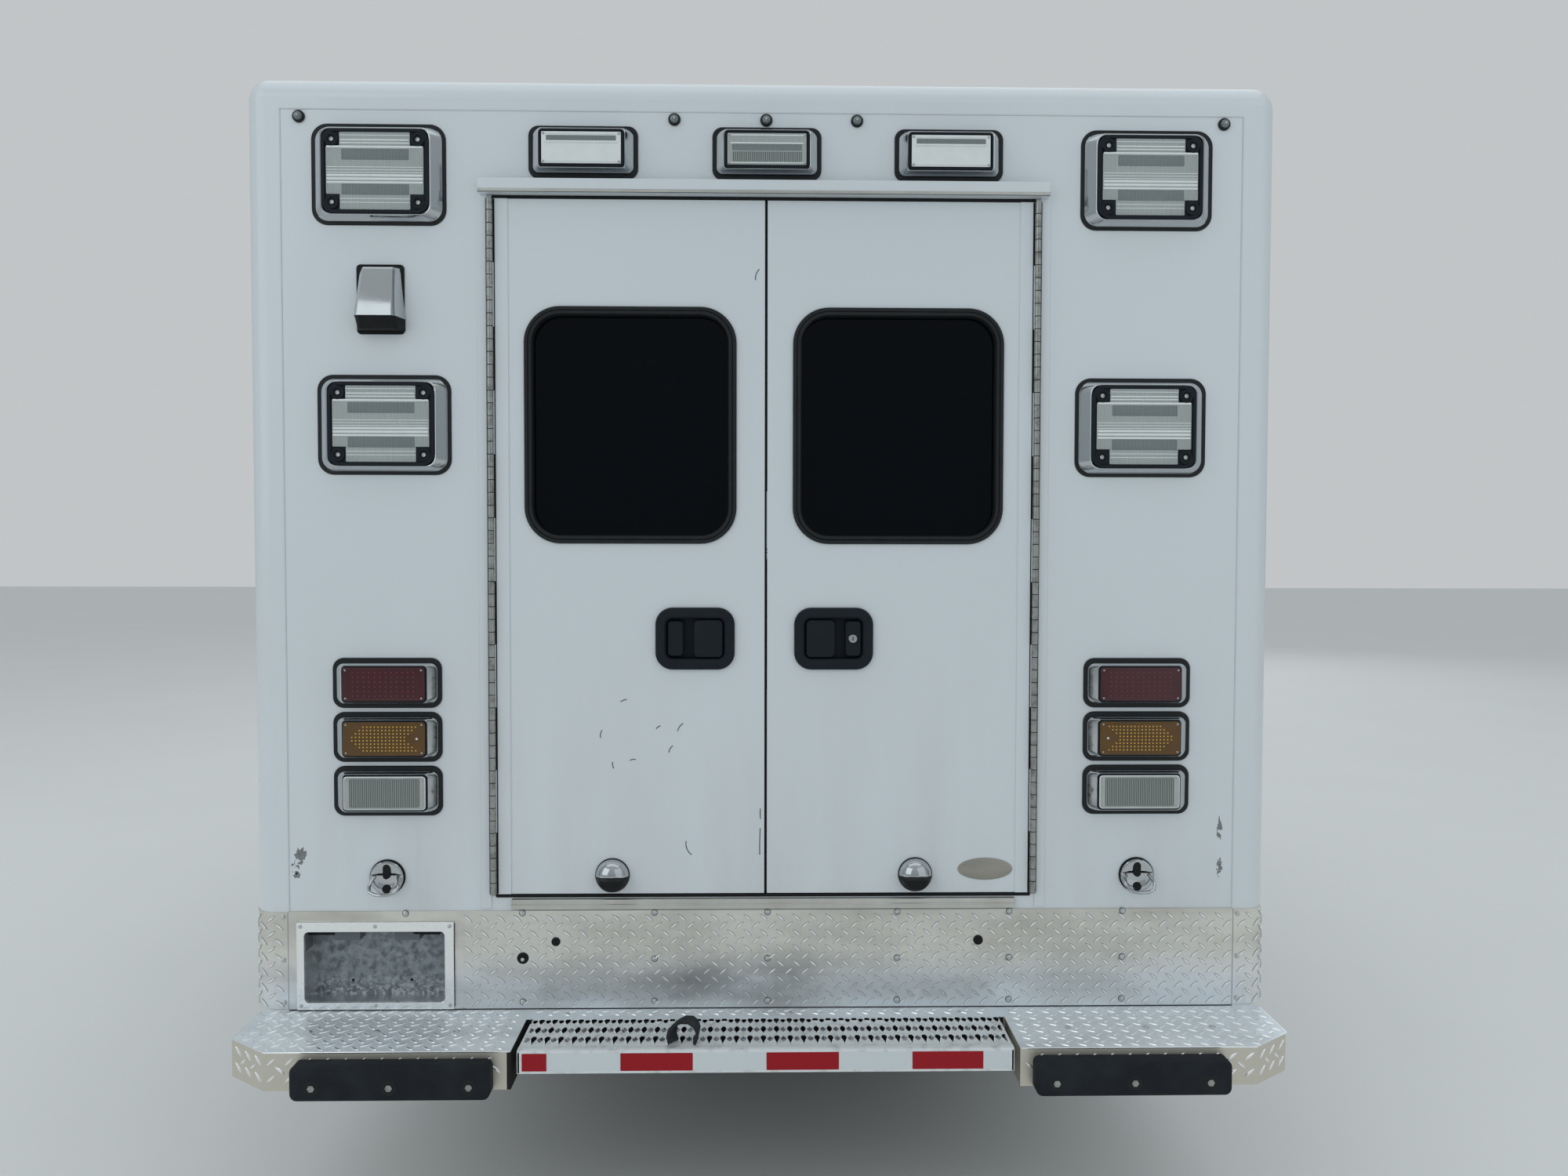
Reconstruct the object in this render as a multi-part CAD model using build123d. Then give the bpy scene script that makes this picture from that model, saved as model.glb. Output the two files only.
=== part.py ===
"""A box-module ambulance on a cutaway van chassis, one STEP file per piece.

x points to the vehicle's right, z up. y is measured forward from the module's
rear face while the pieces are made, and the whole is centred on y at the end.
"""
from build123d import *
import os
from math import cos, radians, sin, sqrt

# Driving dimensions of the vehicle
WHEELBASE = 3505.0
REAR_AXLE_Y = 1728.0
MODULE_LENGTH = 3760.0
MODULE_WIDTH = 2286.0
MODULE_TOP_Z = 2559.0
SKIRT_Z = 490.0
FLOOR_TOP_Z = 757.0
FLOOR_THICK = 57.0
WALL = 50.0
ROOF_THICK = 76.0
CORNER_R = 50.0
CAB_LENGTH = 2125.0
CAB_WIDTH = 2014.0
CAB_WALL = 45.0
CAB_ROOF_Z = 2085.0
BUMPER_REACH = 98.0
STEP_REACH = 225.0
PAD_THICK = 62.0

# Wheels and tyres
TYRE_R = 372.0
TYRE_WIDTH = 223.0
RIM_R = 206.0
RIM_WIDTH = 204.0
FRONT_TRACK = 1762.0
REAR_TRACK = 1860.0
DUAL_SPACING = 255.0
KINGPIN_X = 820.0

# Frame
RAIL_OUT_X = 432.0
RAIL_WIDTH = 80.0
RAIL_TOP_Z = 650.0
RAIL_HEIGHT = 150.0
RAIL_GAUGE = 10.0

# Small distances
GAP = 5.5
FIT = 0.3

# Places that follow from the sizes above
HALF = MODULE_WIDTH / 2
INNER = HALF - WALL
CAB_Y = MODULE_LENGTH
NOSE_Y = CAB_Y + CAB_LENGTH
FRONT_Y = NOSE_Y + BUMPER_REACH
FRONT_AXLE_Y = REAR_AXLE_Y + WHEELBASE
TAIL_Y = -STEP_REACH - PAD_THICK
CENTRE_Y = (FRONT_Y + TAIL_Y) / 2
CEILING_Z = MODULE_TOP_Z - ROOF_THICK
FLOOR_Z = FLOOR_TOP_Z - FLOOR_THICK
CAB_HALF = CAB_WIDTH / 2
ARCH_R = TYRE_R + 68
FRONT_ARCH_R = TYRE_R + 53

nodes = {}


def block(x, y, z):
    """A box between two limits on each axis."""
    centre = Pos((x[0] + x[1]) / 2, (y[0] + y[1]) / 2, (z[0] + z[1]) / 2)
    return centre * Box(x[1] - x[0], y[1] - y[0], z[1] - z[0])


def rounded(points, radii):
    """A closed outline with its corners rounded by the radii that aren't zero."""
    face = make_face(Polyline(*points, close=True))
    for (u, v), r in zip(points, radii):
        if r:
            corner = face.vertices().sort_by_distance(Vector(u, v, 0))[0]
            face = fillet([corner], r)
    return face


def side_prism(face, x0, x1):
    """An outline drawn in y and z, pulled from x0 to x1."""
    return extrude(Plane.YZ.offset(x0) * face, amount=x1 - x0)


def front_prism(face, y0, y1):
    """An outline drawn in x and z, pulled from y0 to y1."""
    return extrude(Plane.XZ.offset(-y0) * face, amount=-(y1 - y0))


def plan_prism(face, z0, z1):
    """An outline drawn in x and y, pulled from z0 to z1."""
    return extrude(Plane.XY.offset(z0) * face, amount=z1 - z0)


def rod_x(radius, x0, x1, y, z):
    return Pos((x0 + x1) / 2, y, z) * Rot(0, 90, 0) * Cylinder(radius, abs(x1 - x0))


def rod_y(radius, y0, y1, x, z):
    return Pos(x, (y0 + y1) / 2, z) * Rot(90, 0, 0) * Cylinder(radius, abs(y1 - y0))


def rod_z(radius, z0, z1, x, y):
    return Pos(x, y, (z0 + z1) / 2) * Cylinder(radius, abs(z1 - z0))


def turned_y(points):
    """A solid turned about the y axis from (radius, y) points."""
    face = make_face(Polyline(*points, close=True))
    return revolve(face, Axis.Y)


def flip_x(shape):
    return mirror(shape, about=Plane.YZ)


def panel(width, height, radius, y0, y1):
    """A plate with round corners, centred on the y axis, from y0 to y1."""
    return front_prism(RectangleRounded(width, height, radius), y0, y1)


def place(name, *solids):
    nodes.setdefault(name, []).extend(solids)


# The chassis frame
RAIL_REAR_Y = WALL + 10
RAIL_FRONT_Y = NOSE_Y + 5
RAIL_IN_X = RAIL_OUT_X - RAIL_WIDTH
RAIL_BOTTOM_Z = RAIL_TOP_Z - RAIL_HEIGHT
CROSS_TALL = 80.0
CROSS_LONG = 70.0
CROSS_Y = [130.0, 820.0, 1420.0, 2060.0, 2900.0, 3700.0, NOSE_Y - CROSS_LONG - 60]


def frame():
    rail = block((RAIL_IN_X, RAIL_OUT_X), (RAIL_REAR_Y, RAIL_FRONT_Y), (RAIL_BOTTOM_Z, RAIL_TOP_Z))
    rail -= block((RAIL_IN_X - 1, RAIL_OUT_X - RAIL_GAUGE), (RAIL_REAR_Y - 1, RAIL_FRONT_Y + 1),
                  (RAIL_BOTTOM_Z + RAIL_GAUGE, RAIL_TOP_Z - RAIL_GAUGE))
    place("frame_rail_right", rail)
    place("frame_rail_left", flip_x(rail))
    reach = RAIL_IN_X
    for y in CROSS_Y:
        member = block((-reach, reach), (y, y + CROSS_LONG), (RAIL_TOP_Z - CROSS_TALL, RAIL_TOP_Z))
        member -= block((-reach - 1, reach + 1), (y + RAIL_GAUGE, y + CROSS_LONG - RAIL_GAUGE),
                        (RAIL_TOP_Z - CROSS_TALL - 1, RAIL_TOP_Z - RAIL_GAUGE))
        place("frame_crossmembers", member)


# Engine, gearbox, shaft and radiator
ENGINE_HALF = 280.0
ENGINE_Y = (4780.0, 5560.0)
ENGINE_Z = (470.0, 1020.0)
GEARBOX_LONG = 620.0
SHAFT_R = 38.0
DIFF_R = 150.0


def powertrain():
    engine = block((-ENGINE_HALF, ENGINE_HALF), ENGINE_Y, ENGINE_Z)
    gearbox_y = ENGINE_Y[0] - GEARBOX_LONG
    box = loft([
        Plane.XZ.offset(-gearbox_y) * Pos(0, 520) * RectangleRounded(170, 180, 40),
        Plane.XZ.offset(-ENGINE_Y[0]) * Pos(0, 530) * RectangleRounded(380, 220, 50),
    ])
    shaft = sweep(Plane(origin=(0, gearbox_y, 520), z_dir=(0, -1, -0.05)) * Circle(SHAFT_R),
                  path=Line((0, gearbox_y, 520), (0, REAR_AXLE_Y + DIFF_R + 20, 390)))
    radiator = block((-330, 330), (5640, 5700), (560, 1060))
    for side in (-1, 1):
        foot = block((min(side * 330, side * RAIL_IN_X), max(side * 330, side * RAIL_IN_X)),
                     (5640, 5700), (RAIL_BOTTOM_Z, RAIL_BOTTOM_Z + 120))
        radiator += foot
        mount_x = sorted((side * ENGINE_HALF, side * RAIL_IN_X))
        engine += block(mount_x, (5100, 5200), (RAIL_BOTTOM_Z, RAIL_BOTTOM_Z + 60))
    place("powertrain", engine + box + shaft, radiator)


# Exhaust and fuel tank
PIPE_R = 34.0
PIPE_X = 215.0
PIPE_Z = 415.0
PIPE_EXIT_Y = 2290.0
MUFFLER_R = 95.0


def exhaust():
    route = [(PIPE_X, ENGINE_Y[0] + 120, PIPE_Z), (PIPE_X, PIPE_EXIT_Y, PIPE_Z),
             (HALF - 15, PIPE_EXIT_Y, PIPE_Z)]
    path = FilletPolyline(*route, radius=150)
    pipe = sweep(Plane(origin=route[0], z_dir=(0, -1, 0)) * Circle(PIPE_R), path=path)
    pipe += rod_y(MUFFLER_R, 2800, 3400, PIPE_X, PIPE_Z)
    pipe += rod_z(PIPE_R, PIPE_Z, ENGINE_Z[0], PIPE_X, ENGINE_Y[0] + 90)
    for y in (2700, 3500):
        hanger = block((PIPE_X - 6, PIPE_X + 6), (y, y + 30), (PIPE_Z, RAIL_BOTTOM_Z + 4))
        hanger += block((PIPE_X - 6, RAIL_IN_X + 20), (y, y + 30), (RAIL_BOTTOM_Z - 8, RAIL_BOTTOM_Z))
        pipe += hanger
    place("exhaust", pipe)


TANK_Y = (330.0, 1330.0)
TANK_Z = (300.0, 555.0)


def fuel_tank():
    tank = block((-320, 320), TANK_Y, TANK_Z)
    tank = fillet(tank.edges().filter_by(Axis.Z), 60)
    tank = chamfer(tank.faces().sort_by(Axis.Z)[0].edges(), 25)
    for y in (TANK_Y[0] + 180, TANK_Y[1] - 240):
        strap = block((-326, 326), (y, y + 60), (TANK_Z[0] - 5, TANK_Z[1]))
        strap += block((-RAIL_OUT_X + 10, RAIL_OUT_X - 10), (y, y + 60), (RAIL_BOTTOM_Z - 6, RAIL_BOTTOM_Z))
        tank += strap
    place("fuel_tank", tank)


# Axles and springs
AXLE_Z = TYRE_R
HUB_FACE_X = REAR_TRACK / 2
DISC_THICK = 8.0
SPRING_X = (500.0, 570.0)
LEAF_THICK = 13.0
LEAF_HALF = 640.0
LEAF_SAG = 90.0
LEAF_COUNT = 4


def leaf_spring():
    """Leaves of falling length, bent to one common centre above the axle."""
    bend = (LEAF_HALF ** 2 + LEAF_SAG ** 2) / (2 * LEAF_SAG)
    seat = AXLE_Z + 48
    stack = None
    for n in range(LEAF_COUNT):
        half = LEAF_HALF - 130 * (LEAF_COUNT - 1 - n)
        outer = bend + LEAF_THICK * (LEAF_COUNT - n)
        band = Circle(outer) - Circle(outer - LEAF_THICK)
        centre_z = seat + LEAF_THICK * LEAF_COUNT + bend
        face = Pos(REAR_AXLE_Y, centre_z) * band
        leaf = side_prism(face, *SPRING_X) & block(SPRING_X, (REAR_AXLE_Y - half, REAR_AXLE_Y + half),
                                                   (seat - 5, RAIL_TOP_Z))
        stack = leaf if stack is None else stack + leaf
    tie = block((SPRING_X[0] - 12, SPRING_X[1] + 12), (REAR_AXLE_Y - 70, REAR_AXLE_Y + 70),
                (seat - 16, seat + 70))
    eye_z = seat + LEAF_THICK * LEAF_COUNT + LEAF_SAG
    for y in (REAR_AXLE_Y - LEAF_HALF, REAR_AXLE_Y + LEAF_HALF):
        stack += rod_x(24, SPRING_X[0], SPRING_X[1], y, eye_z)
        stack += rod_x(12, RAIL_OUT_X, SPRING_X[1] + 14, y, eye_z)
        stack += block((SPRING_X[1], SPRING_X[1] + 12), (y - 22, y + 22), (eye_z - 22, eye_z + 40))
    return stack + tie


def axles():
    hub = HUB_FACE_X - DISC_THICK - FIT
    drum = HUB_FACE_X - 52
    half = [(0, 0), (0, DIFF_R), (70, DIFF_R), (115, 128), (190, 46), (drum - 133, 46), (drum - 133, 148),
            (drum, 148), (drum, 100), (drum + 26, 100), (drum + 26, 70), (hub, 70), (hub, 0)]
    axle = Pos(0, REAR_AXLE_Y, AXLE_Z) * turned(half)
    axle += flip_x(axle)
    for side in (-1, 1):
        spring = leaf_spring()
        axle += spring if side > 0 else flip_x(spring)
    place("rear_axle", axle)

    beam = block((-KINGPIN_X + 40, KINGPIN_X - 40), (FRONT_AXLE_Y - 32, FRONT_AXLE_Y + 32),
                 (AXLE_Z - 55, AXLE_Z - 5))
    beam -= block((-KINGPIN_X + 90, KINGPIN_X - 90), (FRONT_AXLE_Y + 10, FRONT_AXLE_Y + 40),
                  (AXLE_Z - 45, AXLE_Z - 15))
    beam -= block((-KINGPIN_X + 90, KINGPIN_X - 90), (FRONT_AXLE_Y - 40, FRONT_AXLE_Y - 10),
                  (AXLE_Z - 45, AXLE_Z - 15))
    for side in (-1, 1):
        x = side * KINGPIN_X
        near = side * (KINGPIN_X - 60)
        beam += block(sorted((near, x)), (FRONT_AXLE_Y - 28, FRONT_AXLE_Y + 28), (AXLE_Z - 55, AXLE_Z + 27))
        beam += rod_z(28, AXLE_Z - 27, AXLE_Z + 27, x, FRONT_AXLE_Y)
        beam -= block(sorted((x - side * 34, x + side * 40)), (FRONT_AXLE_Y - 40, FRONT_AXLE_Y + 40),
                      (AXLE_Z - 60, AXLE_Z - 27))
        beam -= rod_z(12 + FIT, AXLE_Z - 30, AXLE_Z + 30, x, FRONT_AXLE_Y)
        coil_x = side * 505
        beam += rod_z(52, AXLE_Z - 20, RAIL_BOTTOM_Z + 90, coil_x, FRONT_AXLE_Y)
        beam += block(sorted((side * RAIL_OUT_X, side * 560)), (FRONT_AXLE_Y - 55, FRONT_AXLE_Y + 55),
                      (RAIL_BOTTOM_Z + 90, RAIL_TOP_Z))
    place("front_axle", beam)


# Wheels: rims are turned about x with the outer side at positive x
TYRE_HALF = TYRE_WIDTH / 2
FLANGE_R = RIM_R + 16
WELL_R = 186.0
BARREL = 7.0
BEAD_X = RIM_WIDTH / 2 - 7


def turned(points, radii=None):
    """A ring turned about the x axis from an outline of (x, radius) points."""
    face = rounded(points, radii or [0] * len(points))
    return revolve(face, Axis.X)


def tyre():
    r = TYRE_R
    outline = [(-BEAD_X, RIM_R + FIT), (-BEAD_X, FLANGE_R + 1), (-TYRE_HALF, 290), (-104, r),
               (104, r), (TYRE_HALF, 290), (BEAD_X, FLANGE_R + 1), (BEAD_X, RIM_R + FIT)]
    return turned(outline, [0, 0, 70, 26, 26, 70, 0, 0])


def barrel():
    e = RIM_WIDTH / 2
    return turned([(-e, FLANGE_R), (-BEAD_X - 0.5, FLANGE_R), (-BEAD_X - 0.5, RIM_R), (-62, RIM_R - 3),
                   (-44, WELL_R), (44, WELL_R), (62, RIM_R - 3), (BEAD_X + 0.5, RIM_R),
                   (BEAD_X + 0.5, FLANGE_R), (e, FLANGE_R), (e, RIM_R - BARREL), (66, RIM_R - 3 - BARREL),
                   (48, WELL_R - BARREL), (-48, WELL_R - BARREL), (-66, RIM_R - 3 - BARREL),
                   (-e, RIM_R - BARREL)])


HAND_HOLES = 8
LUGS = 8
LUG_CIRCLE = 82.5


def disc(root_x, face_x):
    """The wheel's dished centre, from the well at root_x to its hub face at face_x."""
    t = DISC_THICK if face_x > root_x else -DISC_THICK
    knee = root_x + (face_x - root_x) * 0.7
    dish = turned([(root_x, WELL_R - BARREL / 2), (knee, 150), (face_x, 112), (face_x, 58),
                   (face_x - t, 58), (face_x - t, 108), (knee - t, 144), (root_x - t, WELL_R - BARREL / 2)])
    for n in range(HAND_HOLES):
        turn = n * 360 / HAND_HOLES
        hole = rod_x(21, -250, 250, 0, 138)
        dish -= Rot(turn, 0, 0) * hole
    return dish


def lug_ring(x0, x1):
    nuts = None
    for n in range(LUGS):
        turn = (n + 0.5) * 360 / LUGS
        nut = Rot(turn, 0, 0) * (Pos((x0 + x1) / 2, 0, LUG_CIRCLE) * Rot(0, 90, 0)
                                 * extrude(RegularPolygon(15, 6), amount=(x1 - x0) / 2, both=True))
        nuts = nut if nuts is None else nuts + nut
    return nuts


FRONT_FACE_X = 78.0
SPINDLE_R = 20.0
ROTOR_R = 150.0
ROTOR_X = (2.0, 20.0)
FRONT_ROOT_X = 44.0


def front_rim():
    rim = barrel() + disc(FRONT_ROOT_X, FRONT_FACE_X)
    hub = rod_x(62, ROTOR_X[0], FRONT_FACE_X + 34, 0, 0)
    hub = fillet(hub.edges().group_by(Axis.X)[-1], 14)
    hub += rod_x(ROTOR_R, ROTOR_X[0], ROTOR_X[1], 0, 0)
    hub += rod_x(104, FRONT_FACE_X - DISC_THICK - 6, FRONT_FACE_X - DISC_THICK, 0, 0)
    hub -= rod_x(SPINDLE_R + FIT, ROTOR_X[0] - 1, 60, 0, 0)
    return rim + hub + lug_ring(FRONT_FACE_X, FRONT_FACE_X + 18)


def rear_rims():
    """The pair on one hub: both discs meet at x = 0 with their barrels on either side."""
    offset = DUAL_SPACING / 2
    outer = Pos(offset, 0, 0) * (barrel() + disc(-30, -offset))
    pair = outer + flip_x(outer)
    cap = rod_x(57, 0, 96, 0, 0)
    cap = fillet(cap.edges().group_by(Axis.X)[-1], 16)
    pair += cap + rod_x(104, DISC_THICK, DISC_THICK + 6, 0, 0)
    return pair + lug_ring(DISC_THICK + 6, DISC_THICK + 24)


def wheels():
    for side, word in ((-1, "left"), (1, "right")):
        turn = Rot(0, 0, 0) if side > 0 else Rot(0, 0, 180)
        front = Pos(side * FRONT_TRACK / 2, FRONT_AXLE_Y, AXLE_Z) * turn
        rear = Pos(side * REAR_TRACK / 2, REAR_AXLE_Y, AXLE_Z) * turn
        place(f"front_{word}_tyre", front * tyre())
        place(f"front_{word}_rim", front * front_rim())
        place(f"rear_{word}_rims", rear * rear_rims())
        for x in (-DUAL_SPACING / 2, DUAL_SPACING / 2):
            place(f"rear_{word}_tyres", rear * Pos(x, 0, 0) * tyre())


def knuckle():
    """The right upright, in place: forked about the kingpin, with spindle and caliper."""
    x = KINGPIN_X
    y = FRONT_AXLE_Y
    z = AXLE_Z
    hub_x = FRONT_TRACK / 2 + ROTOR_X[0]
    plate = (x + 34, x + 50)
    body = block(plate, (y - 32, y + 32), (z - 57, z + 57))
    for low, high in ((z - 57, z - 27 - GAP / 5), (z + 27 + GAP / 5, z + 57)):
        body += block((x, plate[1]), (y - 28, y + 28), (low, high)) + rod_z(28, low, high, x, y)
    body += rod_z(12, z - 57, z + 57, x, y)
    body += rod_x(30, plate[1], hub_x - 2, y, z) + rod_x(SPINDLE_R, plate[1], hub_x + 55, y, z)
    caliper = block((hub_x - 13, hub_x + 30), (y - 168, y - 100), (z - 45, z + 45))
    caliper -= block((hub_x - 4, hub_x + 22), (y - 154, y - 90), (z - 50, z + 50))
    arm = block((plate[0], hub_x - 5), (y - 130, y - 20), (z - 20, z + 20))
    return body + caliper + arm


def knuckles():
    right = knuckle()
    place("knuckle_right", right)
    place("knuckle_left", flip_x(right))


# Openings in the module: y and z limits
REAR_OPEN_X = 601.0
REAR_OPEN_Z = (745.0, 2297.5)
ENTRY_Y = (2380.0, 3130.0)
ENTRY_Z = (505.0, 2330.0)
LOCKERS = {
    # name: side, y limits, z limits
    "left_front_locker": (-1, (2860.0, 3600.0), (520.0, 2205.0)),
    "left_rear_locker": (-1, (330.0, 1130.0), (520.0, 1640.0)),
    "right_rear_locker": (1, (330.0, 1130.0), (520.0, 1640.0)),
}
SIDE_WINDOW = (1960.0, 1720.0, 620.0, 420.0)
CABINET_X = 640.0
PASS_X = 290.0
PASS_Z = (FLOOR_TOP_Z, 1830.0)
LICENCE_X = (-1026.0, -713.0)
LICENCE_Z = (508.0, 669.0)
LICENCE_BOLT_R = 3.2
LICENCE_BOLT_Z = 560.0
LICENCE_BOLT_X = (-869.5 - 88.9, -869.5 + 88.9)
RUBBER = 13.0
RUBBER_THICK = 5.0


def arch_cut(x0, x1, radius, y):
    return rod_x(radius, x0, x1, y, AXLE_Z)


def module():
    outer = block((-HALF, HALF), (0, MODULE_LENGTH), (SKIRT_Z, MODULE_TOP_Z))
    outer = fillet(outer.edges().filter_by(Axis.Z), CORNER_R)
    outer = fillet(outer.faces().sort_by(Axis.Z)[-1].edges(), CORNER_R)
    shell = outer - block((-INNER, INNER), (WALL, MODULE_LENGTH - WALL), (0, CEILING_Z))
    place("module_roof", shell & block((-HALF, HALF), (0, MODULE_LENGTH), (CEILING_Z, MODULE_TOP_Z)))

    rear = shell & block((-HALF, HALF), (0, WALL), (SKIRT_Z, CEILING_Z))
    rear -= block((-REAR_OPEN_X, REAR_OPEN_X), (-1, WALL + 1), REAR_OPEN_Z)
    rear -= block((LICENCE_X[0] - 4, LICENCE_X[1] + 4), (-1, WALL + 1), (LICENCE_Z[0] - 4, LICENCE_Z[1] + 4))
    place("module_rear_wall", rear)

    front = shell & block((-HALF, HALF), (MODULE_LENGTH - WALL, MODULE_LENGTH), (SKIRT_Z, CEILING_Z))
    front -= block((-PASS_X, PASS_X), (MODULE_LENGTH - WALL - 1, MODULE_LENGTH + 1), PASS_Z)
    front -= block((-RAIL_OUT_X - 10, RAIL_OUT_X + 10), (MODULE_LENGTH - WALL - 1, MODULE_LENGTH + 1),
                   (SKIRT_Z - 1, RAIL_TOP_Z + 1))
    place("module_front_wall", front)

    walls = {}
    for side in (-1, 1):
        wall = shell & block(sorted((side * INNER, side * HALF)), (WALL, MODULE_LENGTH - WALL),
                             (SKIRT_Z, CEILING_Z))
        walls[side] = wall - arch_cut(side * (INNER - 5), side * (HALF + 5), ARCH_R, REAR_AXLE_Y)
    for side, y, z in LOCKERS.values():
        leaf = side_hinge(y, z, False)
        walls[side] -= block(sorted((side * (INNER - 5), side * (HALF + 5))), y, z)
        walls[side] += leaf if side > 0 else flip_x(leaf)
    walls[1] -= block((INNER - 5, HALF + 5), ENTRY_Y, ENTRY_Z)
    walls[1] += side_hinge(ENTRY_Y, ENTRY_Z, False)
    y, z, width, height = SIDE_WINDOW
    hole = Pos(y, z) * RectangleRounded(width, height, 60)
    walls[1] -= side_prism(hole, INNER - 5, HALF + 5)
    place("module_left_wall", walls[-1])
    place("module_right_wall", walls[1])
    pane = Pos(y, z) * RectangleRounded(width - 2 * FIT, height - 2 * FIT, 60)
    lip = RUBBER_THICK + HALF
    inner_edge = Pos(y, z) * RectangleRounded(width - 12, height - 12, 54)
    channel = side_prism(pane, HALF - 24, HALF)
    outer_edge = Pos(y, z) * RectangleRounded(width + 2 * RUBBER, height + 2 * RUBBER, 73)
    channel += side_prism(outer_edge, HALF, lip)
    channel -= side_prism(inner_edge, HALF - 25, lip + 1)
    place("side_window", channel + side_prism(pane, HALF - 24, HALF - 18))


# Floor with its sills, wheel boxes and the entry's step well
WHEEL_BOX_X = 655.0
WHEEL_BOX_Y = 485.0
WHEEL_BOX_TOP_Z = 872.0
SHEET = 6.0
SILL_Y = [90.0, 620.0, 1160.0, 1728.0, 2300.0, 2900.0, 3560.0]
WELL_X = 842.0
BENCH_Y = (1170.0, 2290.0)


def floor():
    slab = block((-CABINET_X, CABINET_X), (WALL, MODULE_LENGTH - WALL), (FLOOR_Z, FLOOR_TOP_Z))
    slab += block((CABINET_X, INNER), (BENCH_Y[1], MODULE_LENGTH - WALL), (FLOOR_Z, FLOOR_TOP_Z))
    slab -= block((WELL_X, INNER + 1), ENTRY_Y, (FLOOR_Z - 1, FLOOR_TOP_Z + 1))
    for y in SILL_Y:
        slab += block((-CABINET_X + 10, CABINET_X - 10), (y, y + 50), (RAIL_TOP_Z, FLOOR_Z))
    well = block((WELL_X - SHEET, INNER), (ENTRY_Y[0] - SHEET, ENTRY_Y[1] + SHEET), (SKIRT_Z, FLOOR_Z))
    well -= block((WELL_X, INNER + 1), ENTRY_Y, (SKIRT_Z + SHEET, FLOOR_Z + 1))
    well += block((WELL_X, WELL_X + 130), ENTRY_Y, (620, 628))
    place("module_floor", slab + well)


# Cabinets, bench and seats of the load space
SHELF = 22.0
COUNTER_Z = 1150.0
BENCH_TOP_Z = 1130.0
CUSHION = 80.0


def wheel_box(side):
    """The box over the rear wheels, open below and outward."""
    x = sorted((side * (WHEEL_BOX_X), side * INNER))
    y = (REAR_AXLE_Y - WHEEL_BOX_Y, REAR_AXLE_Y + WHEEL_BOX_Y)
    return block(x, y, (SKIRT_Z - 100, WHEEL_BOX_TOP_Z))


def cabinets():
    left_x = (-INNER, -CABINET_X)
    body = block(left_x, (WALL, MODULE_LENGTH - WALL), (SKIRT_Z + 8, CEILING_Z))
    body -= wheel_box(-1)
    pocket_x = (-INNER - 1, -CABINET_X - SHELF)
    for name in ("left_front_locker", "left_rear_locker"):
        side, y, z = LOCKERS[name]
        body -= block(pocket_x, y, z)
    inward_x = (-INNER + SHELF, -CABINET_X + 1)
    # Inside shelves: y limits and z limits of each open bay
    bays = [((1160, 1980), (1790, 2120)), ((2004, 2830), (1790, 2120)), ((360, 1130), (1790, 2120)),
            ((1160, 1980), (2142, 2440)), ((2004, 2830), (2142, 2440)), ((360, 1130), (2142, 2440)),
            ((1160, 2830), (COUNTER_Z, 1660)), ((2240, 2830), (780, COUNTER_Z - 40))]
    for y, z in bays:
        body -= block(inward_x, y, z)
    place("left_cabinets", body)

    right_x = (CABINET_X, INNER)
    side, y, z = LOCKERS["right_rear_locker"]
    rear = block(right_x, (WALL, BENCH_Y[0]), (SKIRT_Z + 8, z[1] + SHELF))
    rear -= block((CABINET_X + SHELF, INNER + 1), y, z)
    bench = block(right_x, BENCH_Y, (FLOOR_Z, BENCH_TOP_Z))
    bench -= wheel_box(1)
    bench -= block((CABINET_X - 1, INNER - SHELF), (BENCH_Y[0] + SHELF, BENCH_Y[1] - SHELF),
                   (WHEEL_BOX_TOP_Z + SHELF, BENCH_TOP_Z - SHELF))
    place("right_cabinets", rear + bench)


def cushion(x, y, z, radius):
    pad = block(x, y, z)
    return fillet(pad.edges(), radius)


def bench_cushions():
    y = (BENCH_Y[0] + 8, BENCH_Y[1] - 8)
    seat = cushion((CABINET_X + 6, INNER - 90), y, (BENCH_TOP_Z + FIT, BENCH_TOP_Z + CUSHION), 22)
    back = cushion((INNER - 70, INNER - FIT), (y[0] + 40, y[1] - 40),
                   (BENCH_TOP_Z + 130, BENCH_TOP_Z + 360), 22)
    place("bench_cushions", seat, back)


# Rear face: kick plate, licence box, frame trim, drip rail, sockets and hooded lamp
KICK_Z = (SKIRT_Z, 713.0)
KICK_X = 1061.0
KICK_THICK = 4.0
PIN_OUT = 9.5
PIN_X = 604.0
KNUCKLE_R = 6.5
LEAF = 2.5
DOOR_Z = (750.5, 2292.0)
DOOR_EDGE_X = 595.5
DOOR_SPLIT_X = 3.0
KNUCKLES = 11
SOCKET_X = 841.0
SOCKET_Z = 790.0
SOCKET_R = 38.0
SOCKET_DEEP = 48.0
CATCH_X = 340.0


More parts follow.
